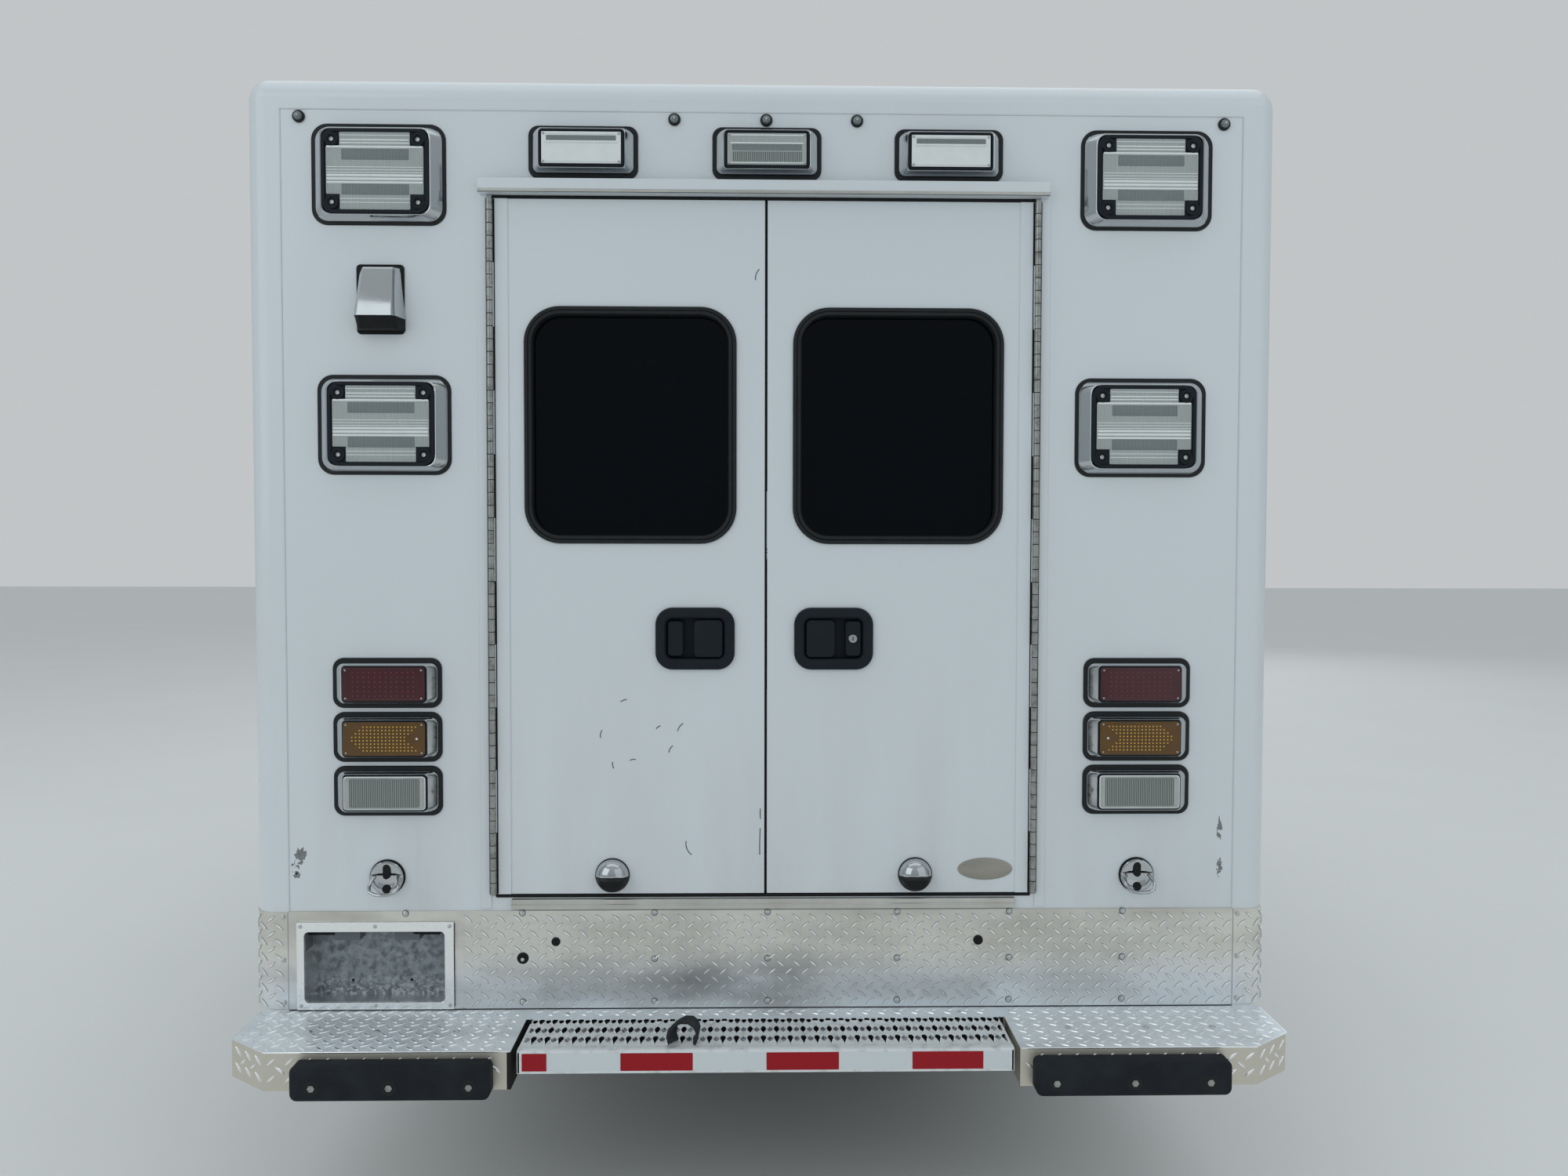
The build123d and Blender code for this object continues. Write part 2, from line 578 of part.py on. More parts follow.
def kick_plate():
    plate = block((-KICK_X, KICK_X), (-KICK_THICK, 0), KICK_Z)
    x0, x1 = LICENCE_X
    z0, z1 = LICENCE_Z
    plate -= block(LICENCE_X, (-KICK_THICK - 1, 1), LICENCE_Z)
    frame_plate = block((-1042, -693), (-KICK_THICK - 5, -KICK_THICK), (493, 690))
    frame_plate -= block(LICENCE_X, (-20, 1), LICENCE_Z)
    pan = block((x0 - 3, x1 + 3), (0, WALL), (z0 - 3, z1 + 3)) - block(LICENCE_X, (-1, WALL - 3), LICENCE_Z)
    lamps = None
    for x in (x0 + 90, x1 - 90):
        hood = block((x - 28, x + 28), (12, WALL - 3), (z1 - 26, z1))
        lamps = hood if lamps is None else lamps + hood
    tray = plate + frame_plate + pan + lamps
    for x in LICENCE_BOLT_X:
        tray -= rod_y(LICENCE_BOLT_R, 40, 80, x, LICENCE_BOLT_Z)
    place("kick_plate", tray)


def hinge_leaf(z0, z1, moving, reach, count=KNUCKLES):
    """One leaf of a long hinge with every other knuckle, on a wall that faces -y.

    The pin stands at x = 0, PIN_OUT in front of the wall. The moving leaf lies at negative x.
    """
    pitch = (z1 - z0) / count
    inner = KNUCKLE_R + 0.5
    strip_x = (-reach, -inner) if moving else (inner, reach)
    lug_x = (-inner - 1, 0) if moving else (0, inner + 1)
    leaf = block(strip_x, (-LEAF, 0), (z0, z1))
    for n in range(count):
        if (n % 2 == 1) != moving:
            continue
        low = z0 + n * pitch + FIT / 2
        high = z0 + (n + 1) * pitch - FIT / 2
        leaf += rod_z(KNUCKLE_R, low, high, 0, -PIN_OUT)
        leaf += block(lug_x, (-PIN_OUT, 0), (low, high))
    return leaf


def rear_fittings():
    rail = block((-626, 626), (-25, 0), (2300, 2329)) - block((-627, 627), (-19, -1), (2308, 2330))
    place("rear_fittings", rail)
    place("rear_fittings", block((-564, 564), (-12, 0), (718, 740.5)))
    for side in (-1, 1):
        leaf = Pos(PIN_X, 0, 0) * hinge_leaf(*DOOR_Z, False, 29)
        place("rear_fittings", leaf if side > 0 else flip_x(leaf))
        cup = turned_y([(0, 0), (SOCKET_R, 0), (SOCKET_R, -9), (27, -14), (22, -SOCKET_DEEP + 4),
                        (18, -SOCKET_DEEP), (0, -SOCKET_DEEP)])
        ring = Pos(0, -SOCKET_DEEP + 10, -6) * Rot(90, 0, 0) * Torus(27, 4)
        place("rear_fittings", Pos(side * SOCKET_X, 0, SOCKET_Z) * (cup + ring))


HOOD_LAMP_X = (-878.0, -788.0)


def hooded_lamp():
    """A slanted hood, open below, shading a lamp that lights the wall."""
    x0, x1 = HOOD_LAMP_X
    outline = [(0, 2142), (-30, 2135), (-75, 2040), (-75, 2027), (-52, 2002), (0, 1997)]
    hood = side_prism(rounded(outline, [0, 14, 18, 0, 0, 0]), x0, x1)
    hollow = [(-6, 2130), (-27, 2124), (-68, 2036), (-68, 2000), (-6, 1990)]
    hood -= side_prism(rounded(hollow, [0, 8, 10, 0, 0]), x0 + 5, x1 - 5)
    place("rear_fittings", hood)


# Lamps: sizes of each kind
LAMP_KINDS = {
    # kind: gasket (w, h), bezel (w, h), lens (w, h), height of the lens, corner radius
    "large": ((293, 219.5), (277, 201), (231, 181.5), 46, 34),
    "small": ((240, 114), (222, 96), (175, 75), 36, 18),
    "tail": ((240.5, 111.5), (225, 92), (183, 77.6), 31, 16),
}
MARKER_R = 13.0
REAR_LAMPS = [
    # kind, x, z
    ("large", -845.5, 2341), ("large", 845.5, 2341), ("large", -838, 1795.5), ("large", 838, 1795.5),
    ("small", -399, 2393), ("small", 4, 2393), ("small", 405.5, 2392),
    ("tail", -837, 1225), ("tail", -837, 1104.5), ("tail", -837, 984),
    ("tail", 837, 1225), ("tail", 837, 1104.5), ("tail", 837, 984),
    ("marker", -1018.6, 2466), ("marker", -199.3, 2466), ("marker", 2.6, 2466), ("marker", 202.3, 2466),
    ("marker", 1017, 2466),
]
SIDE_LAMPS = [
    # kind, y, z
    ("large", 300, 2341), ("large", 3460, 2341), ("large", 1210, 2341), ("large", 2130, 2341),
    ("small", REAR_AXLE_Y, 960), ("marker", 90, 2466), ("marker", 3670, 2466),
]
FRONT_LAMPS = [
    # kind, x, z
    ("large", -900, 2330), ("large", 900, 2330), ("small", -560, 2345), ("small", -200, 2345),
    ("small", 200, 2345), ("small", 560, 2345), ("marker", -1018, 2466), ("marker", -200, 2466),
    ("marker", 0, 2466), ("marker", 200, 2466), ("marker", 1018, 2466),
]


def lamp(kind):
    """A lamp on a wall that faces -y: rubber foot, chrome frame and lens."""
    if kind == "marker":
        return rod_y(MARKER_R, 0, -4, 0, 0) + rod_y(MARKER_R - 4, -4, -12, 0, 0)
    gasket, bezel, lens, high, radius = LAMP_KINDS[kind]
    ring = panel(*gasket, radius, 0, -5)
    ring += extrude(Plane.XZ.offset(5) * RectangleRounded(*bezel, radius - 6), amount=14, taper=20)
    lens_face = RectangleRounded(*lens, radius / 2)
    return ring + extrude(Plane.XZ * lens_face, amount=high, taper=8)


def lamps():
    for kind, x, z in REAR_LAMPS:
        place("rear_lamps", Pos(x, 0, z) * lamp(kind))
    for side in (-1, 1):
        for kind, y, z in SIDE_LAMPS:
            place("body_lamps", Pos(side * HALF, y, z) * Rot(0, 0, side * 90) * lamp(kind))
    for kind, x, z in FRONT_LAMPS:
        place("body_lamps", Pos(x, MODULE_LENGTH, z) * Rot(0, 0, 180) * lamp(kind))


# Rear doors
DOOR_THICK = 46.0
WINDOW_X = 297.0
WINDOW_Z = 1796.6
WINDOW_W = 443.0
WINDOW_H = 497.0
WINDOW_R = 67.0
HANDLE_X = 154.5
HANDLE_Z = 1324.0
HANDLE_W = 176.5
HANDLE_H = 138.5
HANDLE_R = 38.0
RECESS_W = 126.0
RECESS_H = 88.0
RECESS_DEEP = 24.0
LEDGE_X = 43.3
LOCK_R = 9.0


def rear_door(side):
    """One leaf of the rear doors in its shut place, bevelled where the two meet."""
    meet = DOOR_SPLIT_X + side * 3
    if side > 0:
        outline = [(meet, 0), (DOOR_EDGE_X, 0), (DOOR_EDGE_X, DOOR_THICK), (meet + 9, DOOR_THICK)]
    else:
        outline = [(meet, 0), (-DOOR_EDGE_X, 0), (-DOOR_EDGE_X, DOOR_THICK), (meet - 9, DOOR_THICK)]
    door = plan_prism(make_face(Polyline(*outline, close=True)), *DOOR_Z)
    hole = Pos(side * WINDOW_X, 0, WINDOW_Z) * panel(WINDOW_W, WINDOW_H, WINDOW_R, -1, DOOR_THICK + 1)
    recess = Pos(side * HANDLE_X, 0, HANDLE_Z) * panel(RECESS_W + 8, RECESS_H + 8, 12, -1, RECESS_DEEP + 3)
    door -= hole + recess
    leaf = Pos(PIN_X, 0, 0) * hinge_leaf(*DOOR_Z, True, 38)
    return door + (leaf if side > 0 else flip_x(leaf))


def rear_door_fittings(side):
    at = Pos(side * WINDOW_X, 0, WINDOW_Z)
    rubber = panel(WINDOW_W + 2 * RUBBER, WINDOW_H + 2 * RUBBER, WINDOW_R + RUBBER, 0, -RUBBER_THICK)
    rubber -= panel(WINDOW_W - 10, WINDOW_H - 10, WINDOW_R - 5, 1, -RUBBER_THICK - 1)
    spot = Pos(side * HANDLE_X, 0, HANDLE_Z)
    frame_ring = panel(HANDLE_W, HANDLE_H, HANDLE_R, 0, -11)
    frame_ring = chamfer(frame_ring.faces().sort_by(Axis.Y)[0].edges(), 5)
    frame_ring += panel(RECESS_W + 6, RECESS_H + 6, 11, 0, RECESS_DEEP)
    frame_ring -= panel(RECESS_W, RECESS_H, 8, RECESS_DEEP - 3, -12)
    paddle_x = -side * (RECESS_W / 2 - 34)
    paddle = Pos(paddle_x, 0, 0) * panel(60, RECESS_H - 4, 6, -6, 2)
    paddle += Pos(paddle_x - side * 14, 0, 0) * panel(14, RECESS_H - 20, 4, 2, RECESS_DEEP - 3)
    ledge_x = side * LEDGE_X
    paddle += Pos(ledge_x, 0, 0) * panel(36, RECESS_H - 8, 8, 0, RECESS_DEEP - 3)
    catch = turned_y([(0, 0), (37, 0), (37, -8), (30, -14), (24, -30), (18, -48), (0, -52)])
    if side > 0:
        paddle += rod_y(LOCK_R, -5, 1, ledge_x, 0)
    parts = [at * rubber, spot * (frame_ring + paddle), Pos(side * CATCH_X, 0, SOCKET_Z) * catch]
    if side > 0:
        parts.append(Pos(498, 0, 804) * extrude(Plane.XZ * Ellipse(62, 25), amount=2))
    glass = at * panel(WINDOW_W - 2 * FIT, WINDOW_H - 2 * FIT, WINDOW_R - FIT, 16, 22)
    return parts, glass


def rear_doors():
    for side, word in ((-1, "left"), (1, "right")):
        place(f"rear_door_{word}", rear_door(side))
        parts, glass = rear_door_fittings(side)
        place(f"rear_door_{word}_fittings", *parts)
        place(f"rear_door_{word}_glass", glass)


# Entry door and locker doors, hinged at their front edges
ENTRY_GLASS = (2755.0, 1760.0, 430.0, 640.0)


def side_hinge(y, z, moving):
    """A leaf of the hinge at the front edge of a door in the right wall."""
    spot = Pos(HALF, y[1] - GAP / 2, 0) * Rot(0, 0, 90)
    return spot * hinge_leaf(z[0] + GAP, z[1] - GAP, moving, 36)


def side_door(y, z):
    """A flat door in the right wall with its hinge leaf and a latch, in its shut place."""
    face_x = HALF
    door = block((face_x - DOOR_THICK, face_x), (y[0] + GAP, y[1] - GAP), (z[0] + GAP, z[1] - GAP))
    door += side_hinge(y, z, True)
    latch_z = min((z[0] + z[1]) / 2, HANDLE_Z)
    at = Pos(face_x, y[0] + 150, latch_z) * Rot(0, 0, 90)
    pull = panel(HANDLE_W, HANDLE_H, HANDLE_R, 0, -10)
    pull = chamfer(pull.faces().sort_by(Axis.Y)[0].edges(), 4)
    door += at * pull
    door -= at * panel(RECESS_W, RECESS_H, 8, RECESS_DEEP - 3, -12)
    door += at * Pos(-RECESS_W / 2 + 34, 0, 0) * panel(60, RECESS_H - 4, 6, -6, RECESS_DEEP - 3)
    door += at * Pos(LEDGE_X, 0, 0) * panel(36, RECESS_H - 8, 8, 0, RECESS_DEEP - 3)
    return door


def side_doors():
    door = side_door(ENTRY_Y, ENTRY_Z)
    y, z, width, height = ENTRY_GLASS
    hole = Pos(y, z) * RectangleRounded(width, height, 60)
    door -= side_prism(hole, HALF - DOOR_THICK - 1, HALF + 1)
    place("entry_door", door)
    pane = Pos(y, z) * RectangleRounded(width - 2 * FIT, height - 2 * FIT, 60)
    place("entry_door_glass", side_prism(pane, HALF - 24, HALF - 18))
    for name, (side, y, z) in LOCKERS.items():
        door = side_door(y, z)
        place(f"{name}_door", door if side > 0 else flip_x(door))


# Rear bumper, flip-up step and pads
DECK_HALF = 1122.0
DECK_TOP_Z = 490.0
DECK_BOTTOM_Z = 410.0
STEP_X = (-510.0, 520.0)
STEP_STRIP = 60.0
STEP_PIN_Y = -72.0
STEP_PIN_Z = DECK_TOP_Z - 8
STEP_FACE_Z = 441.0
STRANDS = 5
STRAND_Y = -188.0
STRAND_GAP = 24.0
STRAND_THICK = 3.0
DIAMOND = 28.5
DIAMOND_X = -514.5
TOOTH = 5.0
STRAP_X = (-204.0, -132.0)
STRAP_Y = (-184.0, -160.0)
STRAP_TOP_Z = 528.0
STRAP_THICK = 4.0
STRAP_END = 10.0


def rear_bumper():
    inner = STEP_X[1] + 12
    near = -KICK_THICK - 1
    outline = [(inner, near), (DECK_HALF, near), (DECK_HALF, -155), (1028, -STEP_REACH), (inner, -STEP_REACH)]
    right = plan_prism(make_face(Polyline(*outline, close=True)), DECK_BOTTOM_Z, DECK_TOP_Z)
    right = fillet(right.edges().filter_by(Axis.Z).sort_by(Axis.X)[-1], 30)
    right -= block((STEP_X[1] + 20, 1100), (-140, -KICK_THICK - 20), (DECK_BOTTOM_Z - 1, DECK_TOP_Z - 8))
    outline_l = [(-x, y) for x, y in outline]
    outline_l[0] = (STEP_X[0] - 12, near)
    outline_l[-1] = (STEP_X[0] - 12, -STEP_REACH)
    left = plan_prism(make_face(Polyline(*outline_l, close=True)), DECK_BOTTOM_Z, DECK_TOP_Z)
    left = fillet(left.edges().filter_by(Axis.Z).sort_by(Axis.X)[0], 30)
    left -= block((-1100, STEP_X[0] - 20), (-140, -KICK_THICK - 20), (DECK_BOTTOM_Z - 1, DECK_TOP_Z - 8))
    beam = block((STEP_X[0] - 14, STEP_X[1] + 14), (-STEP_STRIP, near), (DECK_BOTTOM_Z - 20, DECK_TOP_Z))
    beam -= block((STEP_X[0] - 15, STEP_X[1] + 15), (-STEP_STRIP + 8, 0),
                  (DECK_BOTTOM_Z - 12, DECK_TOP_Z - 6))
    bumper = left + right + beam
    for side in (-1, 1):
        bumper += block(sorted((side * RAIL_IN_X, side * RAIL_OUT_X)), (-STEP_STRIP + 4, RAIL_REAR_Y + 60),
                        (DECK_BOTTOM_Z - 20, DECK_BOTTOM_Z - 12 + 40))
        bumper += block(sorted((side * RAIL_IN_X, side * RAIL_OUT_X)), (RAIL_REAR_Y, RAIL_REAR_Y + 60),
                        (DECK_BOTTOM_Z + 20, RAIL_BOTTOM_Z))
    third = (STEP_X[1] - STEP_X[0]) / 3
    for n in range(3):
        x = STEP_X[0] + third * (n + 0.5)
        reach = third / 4 - FIT / 2
        bumper += rod_x(6, x - reach, x + reach, STEP_PIN_Y, STEP_PIN_Z)
        bumper += block((x - reach, x + reach), (STEP_PIN_Y, -STEP_STRIP), (STEP_PIN_Z - 5, STEP_PIN_Z))
    place("rear_bumper", bumper)


PAD_X = (552.0, 952.0)
PAD_Z = (415.0, 488.0)


def bumper_pads():
    for side in (-1, 1):
        pad = block(sorted((side * PAD_X[0], side * PAD_X[1])), (-STEP_REACH - PAD_THICK, -STEP_REACH), PAD_Z)
        pad = fillet(pad.edges().filter_by(Axis.Z).group_by(Axis.Y)[0], 20)
        pad = chamfer(pad.faces().sort_by(Axis.Y)[0].edges().filter_by(Axis.X), 9)
        for x in (610, 768, 925):
            pad -= rod_y(13, -STEP_REACH - PAD_THICK - 1, -STEP_REACH - 25, side * x, 443)
        place("bumper_pads", pad)


def strand(x0, x1, y, way):
    """The plan of one slit strand, a zigzag that touches its neighbours in turn."""
    swing = way * (STRAND_GAP - STRAND_THICK + FIT) / 2
    line = []
    for n in range(int((x1 - x0) / DIAMOND)):
        x = x0 + n * DIAMOND
        land = STRAND_THICK
        line += [(x - land, y - swing), (x + land, y - swing),
                 (x + DIAMOND / 2 - land, y + swing), (x + DIAMOND / 2 + land, y + swing)]
    half = STRAND_THICK / 2
    return make_face(Polyline(*[(u, v + half) for u, v in line], *[(u, v - half) for u, v in reversed(line)],
                              close=True))


def step():
    """The flip-up step: side plates and front channel round a plank of toothed diamond strands."""
    top = DECK_TOP_Z - 2
    back = STEP_PIN_Y - 12
    x0, x1 = STEP_X[0] + 6, STEP_X[1] - 6
    front = block((x0, x1), (-STEP_REACH + 3, -STEP_REACH + 26), (STEP_FACE_Z, top))
    front -= block((x0 + 4, x1 - 4), (-STEP_REACH + 7, -STEP_REACH + 27), (STEP_FACE_Z + 4, top - 4))
    body = front
    for a, b in ((x0, x0 + 6), (x1 - 6, x1)):
        body += block((a, b), (-STEP_REACH + 3, back), (STEP_FACE_Z, top))
    body += block((x0, x1), (back - 14, back), (STEP_FACE_Z + 8, top))
    deep = (-STEP_REACH + 26, back - 14)
    plan = None
    for n in range(STRANDS):
        one = strand(DIAMOND_X, x1 + DIAMOND, STRAND_Y + STRAND_GAP * n, 1 if n % 2 else -1)
        plan = one if plan is None else plan + one
    plan &= Rectangle(x1 - x0 - 4, deep[1] - deep[0] + 2).moved(Location(((x0 + x1) / 2, sum(deep) / 2)))
    lattice = plan_prism(plan, STEP_FACE_Z + 27, top)
    saw = [(x1, STEP_FACE_Z + 20), (x0, STEP_FACE_Z + 20)]
    count = int((x1 - x0) / (DIAMOND / 2))
    for n in range(count + 1):
        x = x0 + n * DIAMOND / 2
        saw += [(x, top - TOOTH), (x + DIAMOND / 4, top - FIT)]
    lattice &= front_prism(make_face(Polyline(*saw, (x1 + DIAMOND, top - TOOTH), close=True)), *deep)
    body += lattice
    third = (STEP_X[1] - STEP_X[0]) / 3
    for n in (1, 2):
        x = STEP_X[0] + third * n
        reach = third / 4 - FIT / 2
        body += rod_x(6, x - reach, x + reach, STEP_PIN_Y, STEP_PIN_Z)
        body += block((x - reach, x + reach), (back, STEP_PIN_Y), (STEP_PIN_Z - 5, STEP_PIN_Z + 2))
    place("rear_step", body)


def step_strap():
    """The pull strap, a loop whose two ends turn inward on the plank."""
    foot = DECK_TOP_Z - 2
    x0, x1 = STRAP_X
    left, right = x0 + STRAP_THICK, x1 - STRAP_THICK
    roof = STRAP_TOP_Z - STRAP_THICK
    arch = rounded([(x0, foot), (x0, STRAP_TOP_Z), (x1, STRAP_TOP_Z), (x1, foot)], [0, 30, 30, 0])
    arch -= rounded([(left, foot - 1), (left, roof), (right, roof), (right, foot - 1)], [0, 26, 26, 0])
    for x in (x0 + STRAP_END / 2, x1 - STRAP_END / 2):
        arch += Pos(x, foot + STRAP_THICK / 4) * Rectangle(STRAP_END, STRAP_THICK / 2)
    place("step_strap", front_prism(arch, *STRAP_Y))


# Fenderettes, mud flaps and running boards
FENDERETTE_OUT = 45.0
CAB_BOTTOM_Z = 470.0


def fenderettes():
    for side in (-1, 1):
        x = sorted((side * HALF, side * (HALF + FENDERETTE_OUT)))
        ring = rod_x(ARCH_R + 32, x[0], x[1], REAR_AXLE_Y, AXLE_Z)
        ring -= rod_x(ARCH_R, x[0] - 1, x[1] + 1, REAR_AXLE_Y, AXLE_Z)
        ring &= block(x, (0, 3000), (SKIRT_Z, 1200))
        place("side_trim", ring)
        y = REAR_AXLE_Y - ARCH_R - 46
        place("side_trim", block(sorted((side * 700, side * (HALF - 4))), (y, y + 8), (210, SKIRT_Z)))


def running_boards():
    for side in (-1, 1):
        board = block(sorted((side * 850, side * 1060)), (3880, 4770), (395, 425))
        board = fillet(board.edges().filter_by(Axis.Z).group_by(Axis.X)[-1 if side > 0 else 0], 40)
        for y in (4000, 4600):
            board += block(sorted((side * 935, side * 975)), (y, y + 50), (425, CAB_BOTTOM_Z))
        place("side_trim", board)


# The cab: three outlines seen from the side, from above and from the front
CAB_FLOOR_Z = (RAIL_TOP_Z, 690.0)
COWL_Y = 5080.0
COWL_Z = 1420.0
HEADER_Y = 4540.0
HEADER_Z = 2012.0
HOOD_EDGE_Z = 1150.0
BELT_Z = 1120.0
FIREWALL_Y = (4950.0, 4990.0)
DOOR_FRONT_Y = 4790.0
DOOR_BACK_Y = 3890.0
DOOR_BOTTOM_Z = 560.0
DOOR_TOP_Z = 1985.0


def cab_form(inset, back):
    """The cab's outer form moved inward by inset, running back to y = back and open below."""
    low = CAB_BOTTOM_Z - (200 if inset else 0)
    side_view = [(back, low), (NOSE_Y - 30, low), (NOSE_Y, 760), (NOSE_Y - 8, HOOD_EDGE_Z),
                 (COWL_Y, COWL_Z), (HEADER_Y, HEADER_Z), (back, CAB_ROOF_Z)]
    side_face = rounded(side_view, [0, 0, 300, 85, 60, 230, 0])
    plan = [(-CAB_HALF, back), (-CAB_HALF, 5330), (-905, NOSE_Y), (905, NOSE_Y), (CAB_HALF, 5330),
            (CAB_HALF, back)]
    plan_face = rounded(plan, [0, 500, 150, 150, 500, 0])
    sill = CAB_HALF - 22
    roof = CAB_HALF - 155
    front_view = [(-sill, low), (-CAB_HALF, 880), (-CAB_HALF + 8, BELT_Z), (-roof, CAB_ROOF_Z + 12),
                  (roof, CAB_ROOF_Z + 12), (CAB_HALF - 8, BELT_Z), (CAB_HALF, 880), (sill, low)]
    front_face = rounded(front_view, [0, 400, 240, 120, 120, 240, 400, 0])
    if inset:
        side_face = offset(side_face, amount=-inset, kind=Kind.INTERSECTION)
        plan_face = offset(plan_face, amount=-inset, kind=Kind.INTERSECTION)
        front_face = offset(front_face, amount=-inset, kind=Kind.INTERSECTION)
    form = side_prism(side_face, -1200, 1200)
    form &= plan_prism(plan_face, 0, 2400)
    return form & front_prism(front_face, 3000, 6300)


def door_outline(shrink):
    face = rounded([(DOOR_BACK_Y, DOOR_BOTTOM_Z), (DOOR_FRONT_Y, DOOR_BOTTOM_Z), (DOOR_FRONT_Y, 1390),
                    (4380, DOOR_TOP_Z), (DOOR_BACK_Y, DOOR_TOP_Z)], [70, 50, 60, 90, 60])
    return offset(face, amount=-shrink, kind=Kind.INTERSECTION) if shrink else face


def window_outline(grow):
    points = [(3985, 1245), (4700, 1245), (4700, 1370), (4350, 1890), (3985, 1905)]
    face = rounded(points, [40, 40, 50, 60, 40])
    return offset(face, amount=grow, kind=Kind.INTERSECTION) if grow else face


HOOD_HALF = 800.0
HOOD_Y = (COWL_Y + 35, NOSE_Y - 60)
SLOPE = Plane(origin=(0, (COWL_Y + HEADER_Y) / 2, (COWL_Z + HEADER_Z) / 2), x_dir=(1, 0, 0),
              z_dir=(0, HEADER_Z - COWL_Z, COWL_Y - HEADER_Y))
SHIELD_TOP_X = 765.0
SHIELD_FOOT_X = 850.0
GRILLE_X = 520.0
GRILLE_Z = (790.0, 1060.0)
LAMP_X = (560.0, 830.0)
LAMP_Z = (850.0, 1030.0)
DOGHOUSE_X = 335.0
DOGHOUSE_Y = 4690.0
DOGHOUSE_Z = 1085.0


def shield_outline(shrink):
    """The windshield in its own slanted plane, whose second axis runs down to the cowl."""
    length = sqrt((COWL_Y - HEADER_Y) ** 2 + (HEADER_Z - COWL_Z) ** 2)
    top, foot = -length / 2 + 80, length / 2 - 70
    points = [(-SHIELD_TOP_X, top), (SHIELD_TOP_X, top), (SHIELD_FOOT_X, foot), (-SHIELD_FOOT_X, foot)]
    face = rounded(points, [90, 90, 70, 70])
    return offset(face, amount=-shrink, kind=Kind.INTERSECTION) if shrink else face


def hood_region(shrink):
    """What the hood takes out of the nose, as seen from above."""
    y0, y1 = HOOD_Y
    face = make_face(Polyline((-HOOD_HALF, y0), (HOOD_HALF, y0), (HOOD_HALF - 40, y1), (-HOOD_HALF + 40, y1),
                              close=True))
    if shrink:
        face = offset(face, amount=-shrink, kind=Kind.INTERSECTION)
    return plan_prism(face, 1040, 1700)


def cab():
    outer = cab_form(0, CAB_Y)
    inner = cab_form(CAB_WALL, CAB_Y - 200)
    shell = outer - inner
    inside = inner & block((-1100, 1100), (CAB_Y, 5900), (RAIL_TOP_Z, 2100))
    body = shell
    body += inside & block((-1100, 1100), (CAB_Y, FIREWALL_Y[1]), CAB_FLOOR_Z)
    body += inside & block((-1100, 1100), FIREWALL_Y, (RAIL_TOP_Z, COWL_Z - 30))
    body += inside & block((-1100, 1100), (FIREWALL_Y[0], HOOD_Y[0] - 5), (COWL_Z - 110, COWL_Z - 60))
    house = block((-DOGHOUSE_X, DOGHOUSE_X), (DOGHOUSE_Y, FIREWALL_Y[0] + 1),
                  (CAB_FLOOR_Z[1] - 1, DOGHOUSE_Z))
    body += fillet(house.edges().filter_by(Axis.Y).group_by(Axis.Z)[-1], 50)
    body -= block((-DOGHOUSE_X + 20, DOGHOUSE_X - 20), (DOGHOUSE_Y + 20, FIREWALL_Y[1] + 1),
                  (RAIL_TOP_Z - 1, DOGHOUSE_Z - 20))
    for side in (-1, 1):
        arch_x = (side * 560, side * (CAB_HALF + 30))
        liner = rod_x(FRONT_ARCH_R + 18, side * 600, side * (CAB_HALF - CAB_WALL), FRONT_AXLE_Y, AXLE_Z)
        body += liner & block((-1100, 1100), (4700, 5800), (CAB_BOTTOM_Z, 1000)) & inner
        body -= arch_cut(arch_x[0], arch_x[1], FRONT_ARCH_R, FRONT_AXLE_Y)
        zone = sorted((side * 700, side * 1100))
        body -= side_prism(door_outline(0), *zone)
    body -= hood_region(0)
    body -= extrude(SLOPE * shield_outline(0), amount=160, both=True)
    body -= block((-GRILLE_X, GRILLE_X), (NOSE_Y - 100, NOSE_Y + 5), GRILLE_Z)
    body += cab_hinge(False) + flip_x(cab_hinge(False)) + hood_hinge(False)
    for side in (-1, 1):
        rail_x = sorted((side * (RAIL_IN_X - 6), side * (RAIL_OUT_X + 6)))
        body -= block(rail_x, (FIREWALL_Y[1] + 1, NOSE_Y + 5), (0, RAIL_TOP_Z + 6))
        body -= block(sorted((side * LAMP_X[0], side * LAMP_X[1])), (NOSE_Y - 260, NOSE_Y + 5), LAMP_Z)
    place("cab_body", body)

    hood = (shell & hood_region(GAP)) & block((-900, 900), (4900, 6000), (1040, 1700))
    place("hood", hood + hood_hinge(True))

    pane = cab_form(14, CAB_Y) - cab_form(20, CAB_Y - 50)
    place("windshield", pane & extrude(SLOPE * shield_outline(FIT), amount=60, both=True))
    for side, word in ((-1, "left"), (1, "right")):
        zone = sorted((side * 700, side * 1100))
        door = (shell & side_prism(door_outline(GAP), *zone)) - side_prism(window_outline(0), *zone)
        extra = mirror_piece() + cab_hinge(True)
        door += extra if side > 0 else flip_x(extra)
        place(f"cab_door_{word}", door)
        place(f"cab_door_{word}_glass", pane & side_prism(window_outline(-FIT), *zone))


CAB_PIN_X = CAB_HALF + 9
CAB_PIN_Y = DOOR_FRONT_Y - GAP / 2
CAB_HINGE_Z = (700.0, 1010.0)
CAB_HINGE_TALL = 84.0


